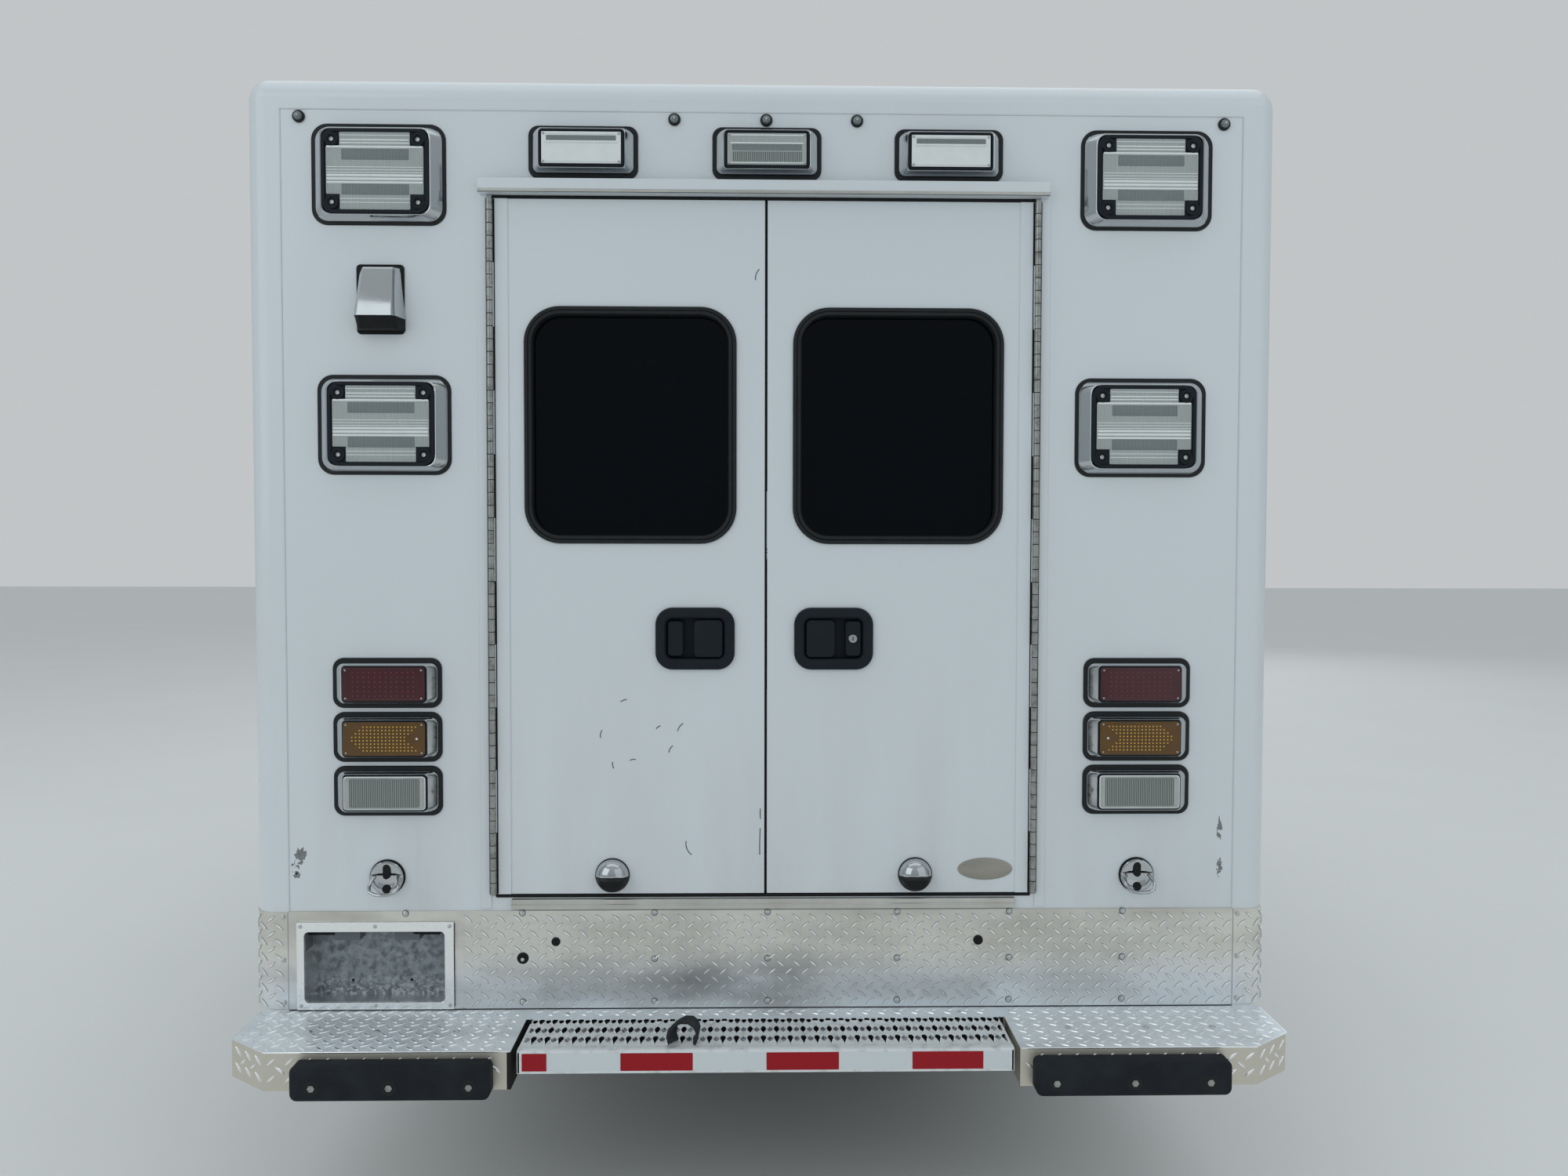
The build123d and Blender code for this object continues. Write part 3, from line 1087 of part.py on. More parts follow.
def cab_hinge(moving):
    """Two strap hinges of the right cab door: the door's middle knuckles or the body's outer ones."""
    hinge = None
    for z in CAB_HINGE_Z:
        third = CAB_HINGE_TALL / 3
        spans = [(z + third, z + 2 * third)] if moving else [(z, z + third), (z + 2 * third, z + 3 * third)]
        y = (CAB_PIN_Y - 50, CAB_PIN_Y) if moving else (CAB_PIN_Y, CAB_PIN_Y + 50)
        for low, high in spans:
            low += FIT / 2
            high -= FIT / 2
            piece = rod_z(8, low, high, CAB_PIN_X, CAB_PIN_Y)
            piece += block((CAB_PIN_X - 4, CAB_PIN_X + 2), y, (low, high))
            foot_y = (y[0], y[1] - 14) if moving else (y[0] + 14, y[1])
            piece += block((CAB_PIN_X - 35, CAB_PIN_X), foot_y, (low, high))
            hinge = piece if hinge is None else hinge + piece
    return hinge


HOOD_PIN_Y = HOOD_Y[0] - 1
HOOD_PIN_Z = COWL_Z + 4


def hood_hinge(moving):
    """Two small hinges where the hood meets the cowl."""
    hinge = None
    for x in (-560, 560):
        spans = [(x - 14, x + 14)] if moving else [(x - 42, x - 14), (x + 14, x + 42)]
        for low, high in spans:
            low += FIT / 2
            high -= FIT / 2
            piece = rod_x(8, low, high, HOOD_PIN_Y, HOOD_PIN_Z)
            y = (HOOD_PIN_Y, HOOD_PIN_Y + 40) if moving else (HOOD_PIN_Y - 40, HOOD_PIN_Y)
            reach = (y[0] + 14, y[1]) if moving else (y[0], y[1] - 8)
            piece += block((low, high), y, (HOOD_PIN_Z - 6, HOOD_PIN_Z))
            piece += block((low, high), reach, (HOOD_PIN_Z - 55, HOOD_PIN_Z))
            hinge = piece if hinge is None else hinge + piece
    return hinge


MIRROR_Y = DOOR_FRONT_Y - 68
MIRROR_Z = (1235.0, 1565.0)
MIRROR_ARMS = [(1272.0, 950.0), (1350.0, 940.0)]


def mirror_piece():
    """A tall mirror on two arms that reach out from the door."""
    head = block((1120, 1300), (MIRROR_Y - 10, MIRROR_Y + 60), MIRROR_Z)
    head = fillet(head.edges().filter_by(Axis.Y), 28)
    head = fillet(head.faces().sort_by(Axis.Y)[-1].edges(), 18)
    for z, root in MIRROR_ARMS:
        head += rod_x(11, root, 1140, MIRROR_Y + 25, z)
    return head


# Nose pieces
def nose():
    edge = GRILLE_X - FIT
    bars = block((-edge, edge), (NOSE_Y - 42, NOSE_Y - 4), (GRILLE_Z[0] + FIT, GRILLE_Z[1] - FIT))
    bars -= block((22 - GRILLE_X, GRILLE_X - 22), (NOSE_Y - 60, NOSE_Y), (GRILLE_Z[0] + 20, GRILLE_Z[1] - 20))
    count = 6
    for n in range(count):
        z = GRILLE_Z[0] + 20 + (n + 0.5) * (GRILLE_Z[1] - GRILLE_Z[0] - 40) / count
        bars += block((-GRILLE_X + 20, GRILLE_X - 20), (NOSE_Y - 34, NOSE_Y - 10), (z - 7, z + 7))
    for x in (-260, 0, 260):
        bars += block((x - 6, x + 6), (NOSE_Y - 38, NOSE_Y - 20), (GRILLE_Z[0] + 10, GRILLE_Z[1] - 10))
    place("grille", bars)
    form = cab_form(3, CAB_Y)
    for side in (-1, 1):
        x = sorted((side * (LAMP_X[0] + FIT), side * (LAMP_X[1] - FIT)))
        place("headlamps", form & block(x, (NOSE_Y - 150, NOSE_Y), (LAMP_Z[0] + FIT, LAMP_Z[1] - FIT)))
    half = [(800, FRONT_Y), (960, NOSE_Y + 40), (990, NOSE_Y - 150), (930, NOSE_Y - 150), (905, NOSE_Y + 5)]
    outline = half + [(-x, y) for x, y in reversed(half)]
    bumper = plan_prism(rounded(outline, [150, 60, 0, 0, 0, 0, 0, 0, 60, 150]), 480, 700)
    bumper -= block((-420, 420), (FRONT_Y - 30, FRONT_Y + 1), (520, 590))
    bumper -= cab_form(-3, CAB_Y)
    place("front_bumper", bumper)


# Inside the cab
WHEEL_X = -430.0


def cab_inside():
    half = 860
    dash = side_prism(rounded([(4740, 1000), (FIREWALL_Y[0], 960), (FIREWALL_Y[0], 1330), (4900, 1370),
                               (4760, 1300), (4720, 1180)], [20, 0, 0, 40, 50, 60]), -half, half)
    dash -= block((-DOGHOUSE_X - 1, DOGHOUSE_X + 1), (DOGHOUSE_Y - 1, FIREWALL_Y[0] + 1),
                  (900, DOGHOUSE_Z + 0.5))
    tilt = Plane(origin=(WHEEL_X, 4560, 1255), x_dir=(1, 0, 0), z_dir=(0, -0.75, 0.66))
    rim = tilt * Torus(188, 15)
    hub = tilt * Pos(0, 0, -25) * Cylinder(55, 40)
    spokes = tilt * Pos(0, 0, -14) * Box(360, 42, 14)
    column = tilt * Pos(0, 0, -160) * Cylinder(36, 250)
    place("dashboard", dash + rim + hub + spokes + column)
    for x in (-430, 430):
        pedestal = block((x - 190, x + 190), (3960, 4360), (CAB_FLOOR_Z[1], 960))
        seat = fillet(block((x - 250, x + 250), (3920, 4440), (960, 1100)).edges(), 40)
        back = Pos(x, 3940, 1400) * Rot(12, 0, 0) * Box(480, 120, 640)
        back = fillet(back.edges(), 40)
        head = fillet((Pos(x, 3860, 1775) * Rot(12, 0, 0) * Box(260, 90, 150)).edges(), 30)
        post = Pos(x, 3875, 1710) * Rot(12, 0, 0) * Box(120, 16, 80)
        place("cab_seats", pedestal + seat + back + head + post)


frame()
powertrain()
exhaust()
fuel_tank()
axles()
wheels()
knuckles()
module()
floor()
cabinets()
bench_cushions()
kick_plate()
rear_fittings()
hooded_lamp()
lamps()
rear_doors()
side_doors()
rear_bumper()
bumper_pads()
step()
step_strap()
fenderettes()
running_boards()
cab()
nose()
cab_inside()

os.makedirs("parts", exist_ok=True)
for name, solids in nodes.items():
    flat = [Pos(0, -CENTRE_Y, 0) * s for shape in solids for s in shape.solids()]
    whole = flat[0] if len(flat) == 1 else Compound(children=flat)
    export_step(whole, f"parts/{name}.step")
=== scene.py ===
import bpy
import bmesh
import random
from math import cos, pi, radians, sin, tan
from mathutils import Matrix, Vector


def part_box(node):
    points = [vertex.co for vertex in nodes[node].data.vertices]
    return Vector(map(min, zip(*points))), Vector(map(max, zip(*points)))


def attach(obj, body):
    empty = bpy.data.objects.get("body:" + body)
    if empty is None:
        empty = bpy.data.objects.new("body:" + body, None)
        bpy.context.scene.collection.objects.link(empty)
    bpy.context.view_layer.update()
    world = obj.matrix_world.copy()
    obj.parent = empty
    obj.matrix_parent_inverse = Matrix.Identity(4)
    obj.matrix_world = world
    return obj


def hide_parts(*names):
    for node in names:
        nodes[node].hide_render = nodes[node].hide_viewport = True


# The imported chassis, module and cab are the frame that every piece is fixed to. Sizes are in
# vehicle millimetres: x to the vehicle's right, y forward from the module's rear face, z up.
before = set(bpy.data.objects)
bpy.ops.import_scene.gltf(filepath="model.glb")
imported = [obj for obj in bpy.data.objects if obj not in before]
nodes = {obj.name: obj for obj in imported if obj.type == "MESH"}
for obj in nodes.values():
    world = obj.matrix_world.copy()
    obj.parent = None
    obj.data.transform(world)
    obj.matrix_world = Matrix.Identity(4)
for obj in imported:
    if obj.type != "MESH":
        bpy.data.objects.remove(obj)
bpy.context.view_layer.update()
CENTRE_Y = -1000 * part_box("module_roof")[0].y
HALF = 1143.0
MODULE_LONG = 3760.0
SIDES = ((-1, "left"), (1, "right"))
random.seed(7)


def metres(x, y, z):
    return Vector((x, y - CENTRE_Y, z)) / 1000


# Camera, pale floor and soft lamps of the studio. The camera stands where the photograph was
# taken, 2.6 m behind the module and a little above its middle.
EYE = (-6.9, -2621.9, 1526.1)
YAW, PITCH, ROLL = -1.1, -1.946, -0.112
SENSOR_WIDTH, FOCAL_LENGTH = 36.0, 27.0
lens = bpy.data.cameras.new("studio_lens")
lens.sensor_width = SENSOR_WIDTH
lens.lens = FOCAL_LENGTH
lens.clip_end = 200.0
viewer = bpy.data.objects.new("studio_camera", lens)
bpy.context.scene.collection.objects.link(viewer)
aim = (Matrix.Rotation(radians(YAW), 4, "Z") @ Matrix.Rotation(radians(PITCH), 4, "X")
       @ Matrix.Rotation(radians(ROLL), 4, "Y") @ Matrix.Rotation(radians(90), 4, "X"))
viewer.matrix_world = Matrix.Translation(metres(*EYE)) @ aim
bpy.context.scene.camera = viewer
bpy.context.scene.view_settings.view_transform = "Standard"


def srgb(code):
    """A hex colour as the linear values that the shaders take."""
    parts = [int(code[n:n + 2], 16) / 255 for n in (1, 3, 5)]
    return tuple(c / 12.92 if c <= 0.04045 else ((c + 0.055) / 1.055) ** 2.4 for c in parts) + (1.0,)


def add(tree, kind, inputs=None, **settings):
    """Adds one node: an input given as a socket is linked, any other is set as its value."""
    node = tree.nodes.new("ShaderNode" + kind)
    for key, value in settings.items():
        setattr(node, key, value)
    for key, value in (inputs or {}).items():
        if isinstance(value, bpy.types.NodeSocket):
            tree.links.new(value, node.inputs[key])
        else:
            node.inputs[key].default_value = value
    return node


def surface(name, colour, roughness, metallic=0.0, **more):
    """A material with these plain shader values, and its tree and shader."""
    made = bpy.data.materials.new(name)
    made.use_nodes = True
    shader = made.node_tree.nodes["Principled BSDF"]
    values = {"Base Color": srgb(colour), "Roughness": roughness, "Metallic": metallic}
    values.update({key.replace("_", " "): value for key, value in more.items()})
    for key, value in values.items():
        shader.inputs[key].default_value = value
    return made, made.node_tree, shader


def here(tree):
    """The place on the vehicle, in metres."""
    return add(tree, "TexCoord").outputs["Object"]


def patches(tree, size, detail=3.0, stretch=(1, 1, 1)):
    """Soft patches about size millimetres across, from 0 to 1."""
    place = here(tree)
    if stretch != (1, 1, 1):
        place = add(tree, "Mapping", {"Vector": place, "Scale": stretch}).outputs["Vector"]
    return add(tree, "TexNoise", {"Vector": place, "Scale": 1000 / size, "Detail": detail}).outputs["Fac"]


def graded(tree, pattern, start, end, low, high):
    """A pattern's stretch from start to end, turned to the numbers from low to high."""
    return add(tree, "MapRange", {"Value": pattern, "From Min": start, "From Max": end,
                                  "To Min": low, "To Max": high}).outputs["Result"]


def coordinate(tree, axis):
    """The place along an axis, in metres: from the vehicle's middle, or up from the floor."""
    return add(tree, "SeparateXYZ", {0: here(tree)}).outputs[axis]


def tinted(tree, pattern, one, other):
    """One colour that turns to another by a pattern; each is a hex colour or a socket."""
    one, other = (srgb(c) if isinstance(c, str) else c for c in (one, other))
    return add(tree, "Mix", {0: pattern, 6: one, 7: other}, data_type="RGBA").outputs[2]


def toned(shader, pattern, one, other):
    """The base colour turns from one to the other by a pattern."""
    tree = shader.id_data
    tree.links.new(tinted(tree, pattern, one, other), shader.inputs["Base Color"])


def roughened(shader, pattern, start, end, low, high):
    """The roughness goes from low to high over a pattern's stretch from start to end."""
    tree = shader.id_data
    tree.links.new(graded(tree, pattern, start, end, low, high), shader.inputs["Roughness"])


def relief(tree, shader, pattern, deep):
    """Bumps that stand deep millimetres high, over any that the shader has."""
    values = {"Height": pattern, "Distance": deep / 1000}
    if shader.inputs["Normal"].links:
        values["Normal"] = shader.inputs["Normal"].links[0].from_socket
    bump = add(tree, "Bump", values)
    tree.links.new(bump.outputs["Normal"], shader.inputs["Normal"])


def finish(name, colour, other, size, rough, metallic=0.0, grain=None, stretch=(1, 1, 1), **more):
    """A material in two tones over patches size millimetres across, from rough[0] to rough[1].

    grain is the width and the height in millimetres of its finest texture.
    """
    made, tree, shader = surface(name, colour, rough[0], metallic, **more)
    tone = graded(tree, patches(tree, size, 4.0, stretch), 0.35, 0.75, 0.0, 1.0)
    toned(shader, tone, colour, other)
    roughened(shader, patches(tree, size / 3, 3.0, stretch), 0.3, 0.75, *rough)
    if grain:
        relief(tree, shader, patches(tree, grain[0], 2.0), grain[1])
    return made


def number(tree, operation, one, other=0.5):
    """A number worked out from one or two others."""
    return add(tree, "Math", {0: one, 1: other}, operation=operation).outputs[0]


def both(tree, one, other):
    """1 where both masks are 1."""
    return number(tree, "MULTIPLY", one, other)


def within(tree, axis, low, high):
    """1 where a coordinate lies between limits in metres; X is taken without its sign."""
    place = coordinate(tree, axis)
    size = number(tree, "ABSOLUTE", place) if axis == "X" else place
    return both(tree, number(tree, "GREATER_THAN", size, low), number(tree, "LESS_THAN", size, high))


def zoned(material, mask, colour, rough, metallic=0.0):
    """Where the mask is 1, a material takes another colour, roughness and share of metal."""
    tree = material.node_tree
    shader = tree.nodes["Principled BSDF"]
    mask = mask(tree)
    for key, value in (("Base Color", srgb(colour)), ("Roughness", rough), ("Metallic", metallic)):
        socket = shader.inputs[key]
        old = socket.links[0].from_socket if socket.links else socket.default_value
        if key == "Base Color":
            new = tinted(tree, mask, old if socket.links else tuple(old), value)
        else:
            new = add(tree, "MapRange", {"Value": mask, "To Min": old, "To Max": value}).outputs["Result"]
        tree.links.new(new, socket)


def facing(tree, centre):
    """1 on the faces that look toward a point, such as the inside of a cab, else 0."""
    place = add(tree, "TexCoord").outputs
    away = add(tree, "VectorMath", {0: place["Object"], 1: metres(*centre)}, operation="SUBTRACT")
    turned = add(tree, "VectorMath", {0: away.outputs[0], 1: place["Normal"]}, operation="DOT_PRODUCT")
    return graded(tree, turned.outputs["Value"], -0.02, 0.0, 1.0, 0.0)


# A pale concrete floor, in metres
FLOOR_REACH = 40.0
floor_mesh = bpy.data.meshes.new("studio_floor")
corners = [(x * FLOOR_REACH, y * FLOOR_REACH, 0) for x, y in ((-1, -1), (1, -1), (1, 1), (-1, 1))]
floor_mesh.from_pydata(corners, [], [(0, 1, 2, 3)])
studio_floor = bpy.data.objects.new("studio_floor", floor_mesh)
bpy.context.scene.collection.objects.link(studio_floor)
concrete, tree, shader = surface("pale_concrete", "#efeeec", 0.85)
toned(shader, patches(tree, 900), "#edecea", "#f2f1ef")
floor_mesh.materials.append(concrete)

# An overcast sky lights the scene, and a plain pale wall stands behind it
SKY_STRENGTH, BACKDROP_STRENGTH = 0.56, 0.68
LAMP_COLOUR = (0.93, 1.0, 1.02)
sky = bpy.data.worlds.new("studio_sky")
bpy.context.scene.world = sky
sky.use_nodes = True
tree = sky.node_tree
up = add(tree, "SeparateXYZ", {0: add(tree, "TexCoord").outputs["Generated"]}).outputs["Z"]
glow = tree.nodes["Background"]
glow.inputs["Strength"].default_value = SKY_STRENGTH
shade = tinted(tree, graded(tree, up, -0.05, 0.8, 0.0, 1.0), "#cad7de", "#f1f9fd")
tree.links.new(shade, glow.inputs["Color"])
backdrop = add(tree, "Background", {"Color": srgb("#e6eaec"), "Strength": BACKDROP_STRENGTH})
seen = add(tree, "MixShader", {0: add(tree, "LightPath").outputs["Is Camera Ray"], 1: glow.outputs[0],
                               2: backdrop.outputs[0]})
tree.links.new(seen.outputs[0], tree.nodes["World Output"].inputs["Surface"])

LAMPS = [
    # name, place, point it faces, width, watts
    ("studio_key", (-7200, -6500, 5400), (0, 0, 1400), 8.0, 150),
    ("studio_fill", (5500, -5500, 3800), (0, 0, 1300), 8.0, 58),
    ("studio_top", (0, 2000, 7500), (0, 2000, 0), 9.0, 112),
    ("studio_front", (3500, 13000, 6500), (0, 5500, 1000), 9.0, 135),
]
for name, place, target, width, watts in LAMPS:
    panel = bpy.data.lights.new(name, "AREA")
    panel.size = width
    panel.energy = watts
    panel.color = LAMP_COLOUR
    stand = bpy.data.objects.new(name, panel)
    bpy.context.scene.collection.objects.link(stand)
    stand.location = metres(*place)
    stand.rotation_euler = (metres(*target) - metres(*place)).to_track_quat("-Z", "Y").to_euler()


# The module's shell: painted aluminium sheet on extruded corner posts. The sheets end on the
# posts in slim sealed joints, and the roof is one sheet with rounded edges.
def enamel(name, colour, soiled):
    """Two-pack enamel on aluminium: glossy, faintly rippled, with road film low on the body."""
    made, tree, shader = surface(name, colour, 0.24, IOR=1.5, Coat_Weight=0.35, Coat_Roughness=0.06)
    low = graded(tree, coordinate(tree, "Z"), 0.45, 1.5, 1.0, 0.0)
    streaks = graded(tree, patches(tree, 160, 5.0, (1, 1, 0.18)), 0.42, 0.8, 0.0, soiled)
    film = both(tree, streaks, low)
    cloud = graded(tree, patches(tree, 1500, 1.0), 0.35, 0.7, 0.0, 0.35)
    clean = tinted(tree, cloud, colour, "#d9dfe3")
    toned(shader, film, clean, "#b9b8b2")
    roughened(shader, patches(tree, 300, 2.0), 0.3, 0.8, 0.2, 0.27)
    relief(tree, shader, patches(tree, 2.4, 2.0), 0.02)
    return made


def dress(material, *names):
    """Gives carried-over nodes their finish."""
    for name in names:
        nodes[name].data.materials.clear()
        nodes[name].data.materials.append(material)


module_enamel = enamel("white_enamel_on_aluminium", "#e3e8ec", 0.55)
dress(module_enamel, "module_roof", "module_rear_wall", "module_front_wall", "module_left_wall",
      "module_right_wall", "rear_door_left", "rear_door_right", "entry_door", "left_front_locker_door",
      "left_rear_locker_door", "right_rear_locker_door")


def span(side, near, far):
    """Limits on one side of the vehicle, the lower one first."""
    return sorted((side * near, side * far))


def on_wall(wall, along, z, out=0.0):
    """A spot on a wall: turns distances right, up and outward, as seen from outside, to a point."""
    def spot(u, v, d):
        d += out
        if wall == "rear":
            return (along + u, -d, z + v)
        if wall == "front":
            return (along - u, MODULE_LONG + d, z + v)
        if wall == "right":
            return (HALF + d, along + u, z + v)
        return (-HALF - d, along - u, z + v)
    return spot


def on_top(x, y, z):
    """A spot on a level plate: u to the right, v forward and d up."""
    return lambda u, v, d: (x + u, y + v, z + d)


def shifted(spot, right=0.0, up=0.0, out=0.0):
    """The same wall or plate, its distances now taken from a point so far right, up and out."""
    return lambda u, v, d: spot(u + right, v + up, d + out)


def round_rect(width, height, radius, steps=5):
    """The outline of a rectangle with round corners, about its middle."""
    radius = max(min(radius, width / 2 - 0.01, height / 2 - 0.01), 0.01)
    points = []
    for n, (su, sv) in enumerate(((1, 1), (-1, 1), (-1, -1), (1, -1))):
        for k in range(steps + 1):
            turn = (n + k / steps) * pi / 2
            points.append((su * (width / 2 - radius) + radius * cos(turn),
                           sv * (height / 2 - radius) + radius * sin(turn)))
    return points


class Work:
    """Faces gathered in vehicle millimetres for one piece, each with its material's number."""

    def __init__(self):
        self.points = []
        self.faces = []
        self.marks = []

    def skin(self, loops, mark=0, caps=(True, True), closed=True):
        """Joins loops with as many points each, one after the other, and caps the ends."""
        start = len(self.points)
        count = len(loops[0])
        for loop in loops:
            self.points.extend(loop)
        last = start + (len(loops) - 1) * count
        for a in range(start, last, count):
            for j in range(count if closed else count - 1):
                k = (j + 1) % count
                self.faces.append((a + j, a + k, a + count + k, a + count + j))
        if caps[0]:
            self.faces.append(tuple(range(start + count - 1, start - 1, -1)))
        if caps[1]:
            self.faces.append(tuple(range(last, last + count)))
        self.marks.extend([mark] * (len(self.faces) - len(self.marks)))

    def box(self, x, y, z, mark=0, edge=1.0):
        """A block between two limits on each axis with its edges taken off."""
        loops = []
        for level, inset in ((z[0], edge), (z[0] + edge, 0), (z[1] - edge, 0), (z[1], edge)):
            a, b, c, d = x[0] + inset, x[1] - inset, y[0] + inset, y[1] - inset
            ring = [(a + edge, c), (b - edge, c), (b, c + edge), (b, d - edge),
                    (b - edge, d), (a + edge, d), (a, d - edge), (a, c + edge)]
            loops.append([(u, v, level) for u, v in ring])
        self.skin(loops, mark)

    def plate(self, spot, levels, mark=0, caps=(False, True), steps=5):
        """Rounded rectangles one above the other: width, height, corner radius, distance out."""
        loops = [[spot(u, v, d) for u, v in round_rect(w, h, r, steps)] for w, h, r, d in levels]
        self.skin(loops, mark, caps)

    def turned(self, spot, profile, mark=0, sides=24, caps=(False, True)):
        """A turned form from (radius, distance out) points."""
        turns = [2 * pi * n / sides for n in range(sides)]
        self.skin([[spot(r * cos(t), r * sin(t), d) for t in turns] for r, d in profile], mark, caps)

    def tube(self, path, radius, mark=0, sides=10, closed=False):
        """A round bar along a path of points."""
        path = [Vector(p) for p in path]
        count = len(path)
        loops = []
        side = None
        for n, p in enumerate(path):
            before = path[(n - 1) % count] if closed or n else p
            after = path[(n + 1) % count] if closed or n < count - 1 else p
            along = (after - before).normalized()
            side = along.orthogonal() if side is None else side - along * side.dot(along)
            side.normalize()
            lift = along.cross(side)
            loops.append([tuple(p + (side * cos(t) + lift * sin(t)) * radius)
                          for t in (2 * pi * k / sides for k in range(sides))])
        if closed:
            loops.append(loops[0])
        self.skin(loops, mark, (not closed, not closed))

    def strip(self, path, wide, thick, across, mark=0):
        """A flat bar along a path, its width along the direction across, or one for each point."""
        path = [Vector(p) for p in path]
        ways = across if isinstance(across, list) else [across] * len(path)
        loops = []
        for n, p in enumerate(path):
            wide_way = Vector(ways[n]).normalized() * wide / 2
            along = (path[min(n + 1, len(path) - 1)] - path[max(n - 1, 0)]).normalized()
            lift = along.cross(wide_way).normalized() * thick / 2
            loops.append([tuple(p + wide_way + lift), tuple(p - wide_way + lift),
                          tuple(p - wide_way - lift), tuple(p + wide_way - lift)])
        self.skin(loops, mark)

    def make(self, name, body, slot, materials, angle=32):
        """The gathered faces as one object that rides on a body."""
        mesh = bpy.data.meshes.new(name)
        mesh.from_pydata([metres(*p) for p in self.points], [], self.faces)
        for material in materials:
            mesh.materials.append(material)
        mesh.polygons.foreach_set("material_index", self.marks)
        tool = bmesh.new()
        tool.from_mesh(mesh)
        bmesh.ops.remove_doubles(tool, verts=tool.verts, dist=1e-6)
        bmesh.ops.recalc_face_normals(tool, faces=tool.faces)
        tool.to_mesh(mesh)
        tool.free()
        mesh.shade_smooth()
        mesh.set_sharp_from_angle(angle=radians(angle))
        made = bpy.data.objects.new(name, mesh)
        bpy.context.scene.collection.objects.link(made)
        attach(made, body)
        return made


POST_SEAM = 1060.0
SIDE_SEAMS = (83.0, 3677.0)
ROOF_SEAM_Z = 2483.0
SEAM_FOOT = {"rear": 713.0, "front": 492.0, "left": 492.0, "right": 492.0}
joint_sealer, tree, shader = surface("paintable_joint_sealer", "#cfd4d8", 0.5)
toned(shader, patches(tree, 40), "#c3c8cc", "#d6dbdf")
seams = Work()
for wall, base in SEAM_FOOT.items():
    low, high = SIDE_SEAMS if wall in ("left", "right") else (-POST_SEAM, POST_SEAM)
    middle, long, tall = (low + high) / 2, high - low, ROOF_SEAM_Z - base
    seams.plate(on_wall(wall, middle, ROOF_SEAM_Z), [(long, 3.2, 1.5, 0), (long, 2.2, 1, 1.0)])
    for end in (-long / 2, long / 2):
        upright = on_wall(wall, middle + end, base + tall / 2)
        seams.plate(upright, [(3.2, tall, 1.5, 0), (2.2, tall, 1, 1.0)])
seams.make("module_corner_seams", "chassis", "white_paint", [joint_sealer])


# The rear doors hang on full-length stainless hinges of rolled knuckles on a slim pin.
# Every other knuckle belongs to the door and the rest to the body.
HINGE_X = 604.0
HINGE_OUT = 9.5
HINGE_Z = (750.5, 2292.0)
KNUCKLE_PITCH = 27.8
KNUCKLE_GAP = 1.8
KNUCKLE_R = 7.1
PIN_R = 6.62
# Between the pin and a knuckle of fourteen flats there is room at every angle
PIN_BORE = 6.83
stainless, tree, shader = surface("rolled_stainless_steel", "#9c9c98", 0.36, 1.0)
grime = graded(tree, patches(tree, 14, 4.0), 0.45, 0.75, 0.0, 0.8)
toned(shader, grime, "#a8a8a4", "#6f6c65")
roughened(shader, patches(tree, 9), 0.3, 0.8, 0.25, 0.5)
# Near black for the knuckles' end faces and the pads' bolt wells: painted shade in gaps and hollows.
gap_and_well_shade, tree, shader = surface("painted_shade_in_gaps_and_wells", "#121110", 0.8)
toned(shader, patches(tree, 3), "#0d0d0c", "#22201d")


def knuckles(name, body, x, y, z0, z1, bore=2.0):
    """A hinge's rolled knuckles on an upright pin, every other one of them on the door's body."""
    parts = {True: Work(), False: Work()}
    count = round((z1 - z0) / KNUCKLE_PITCH)
    stand = on_top(x, y, 0)
    for n in range(count):
        low = z0 + n * (z1 - z0) / count + KNUCKLE_GAP / 2
        high = z0 + (n + 1) * (z1 - z0) / count - KNUCKLE_GAP / 2
        part = parts[n % 2 == 1]
        part.turned(stand, [(KNUCKLE_R, low), (KNUCKLE_R, high)], 0, 14, (False, False))
        for level in (low, high):
            # The knuckles' end faces are near black, painted shade in the gaps between them.
            part.turned(stand, [(bore, level), (KNUCKLE_R, level)], 1, 14, (False, False))
    parts[True].make(f"{name}_door_knuckles", body, "galvanised", [stainless, gap_and_well_shade])
    parts[False].make(f"{name}_body_knuckles", "chassis", "galvanised", [stainless, gap_and_well_shade])


for side, word in SIDES:
    knuckles(f"rear_hinge_{word}", f"rear_door_{word}_leaf", side * HINGE_X, -HINGE_OUT, *HINGE_Z, PIN_BORE)

# Rubber seals fill the gaps round the rear doors; the left door carries the middle one. A black
# strip along each side of a hinge is painted shade, and the hinge's pin is black as painted shade
# in the gaps between its knuckles.
SEAL_Y = (5.0, 34.0)
door_rubber, tree, shader = surface("extruded_epdm_rubber", "#111314", 0.62, Specular_IOR_Level=0.3)
roughened(shader, patches(tree, 20), 0.3, 0.7, 0.55, 0.72)
relief(tree, shader, patches(tree, 1.5), 0.05)
seal = Work()
for side in (-1, 1):
    seal.box(span(side, 597.0, 600.7), SEAL_Y, (750, 2292), edge=0.8)
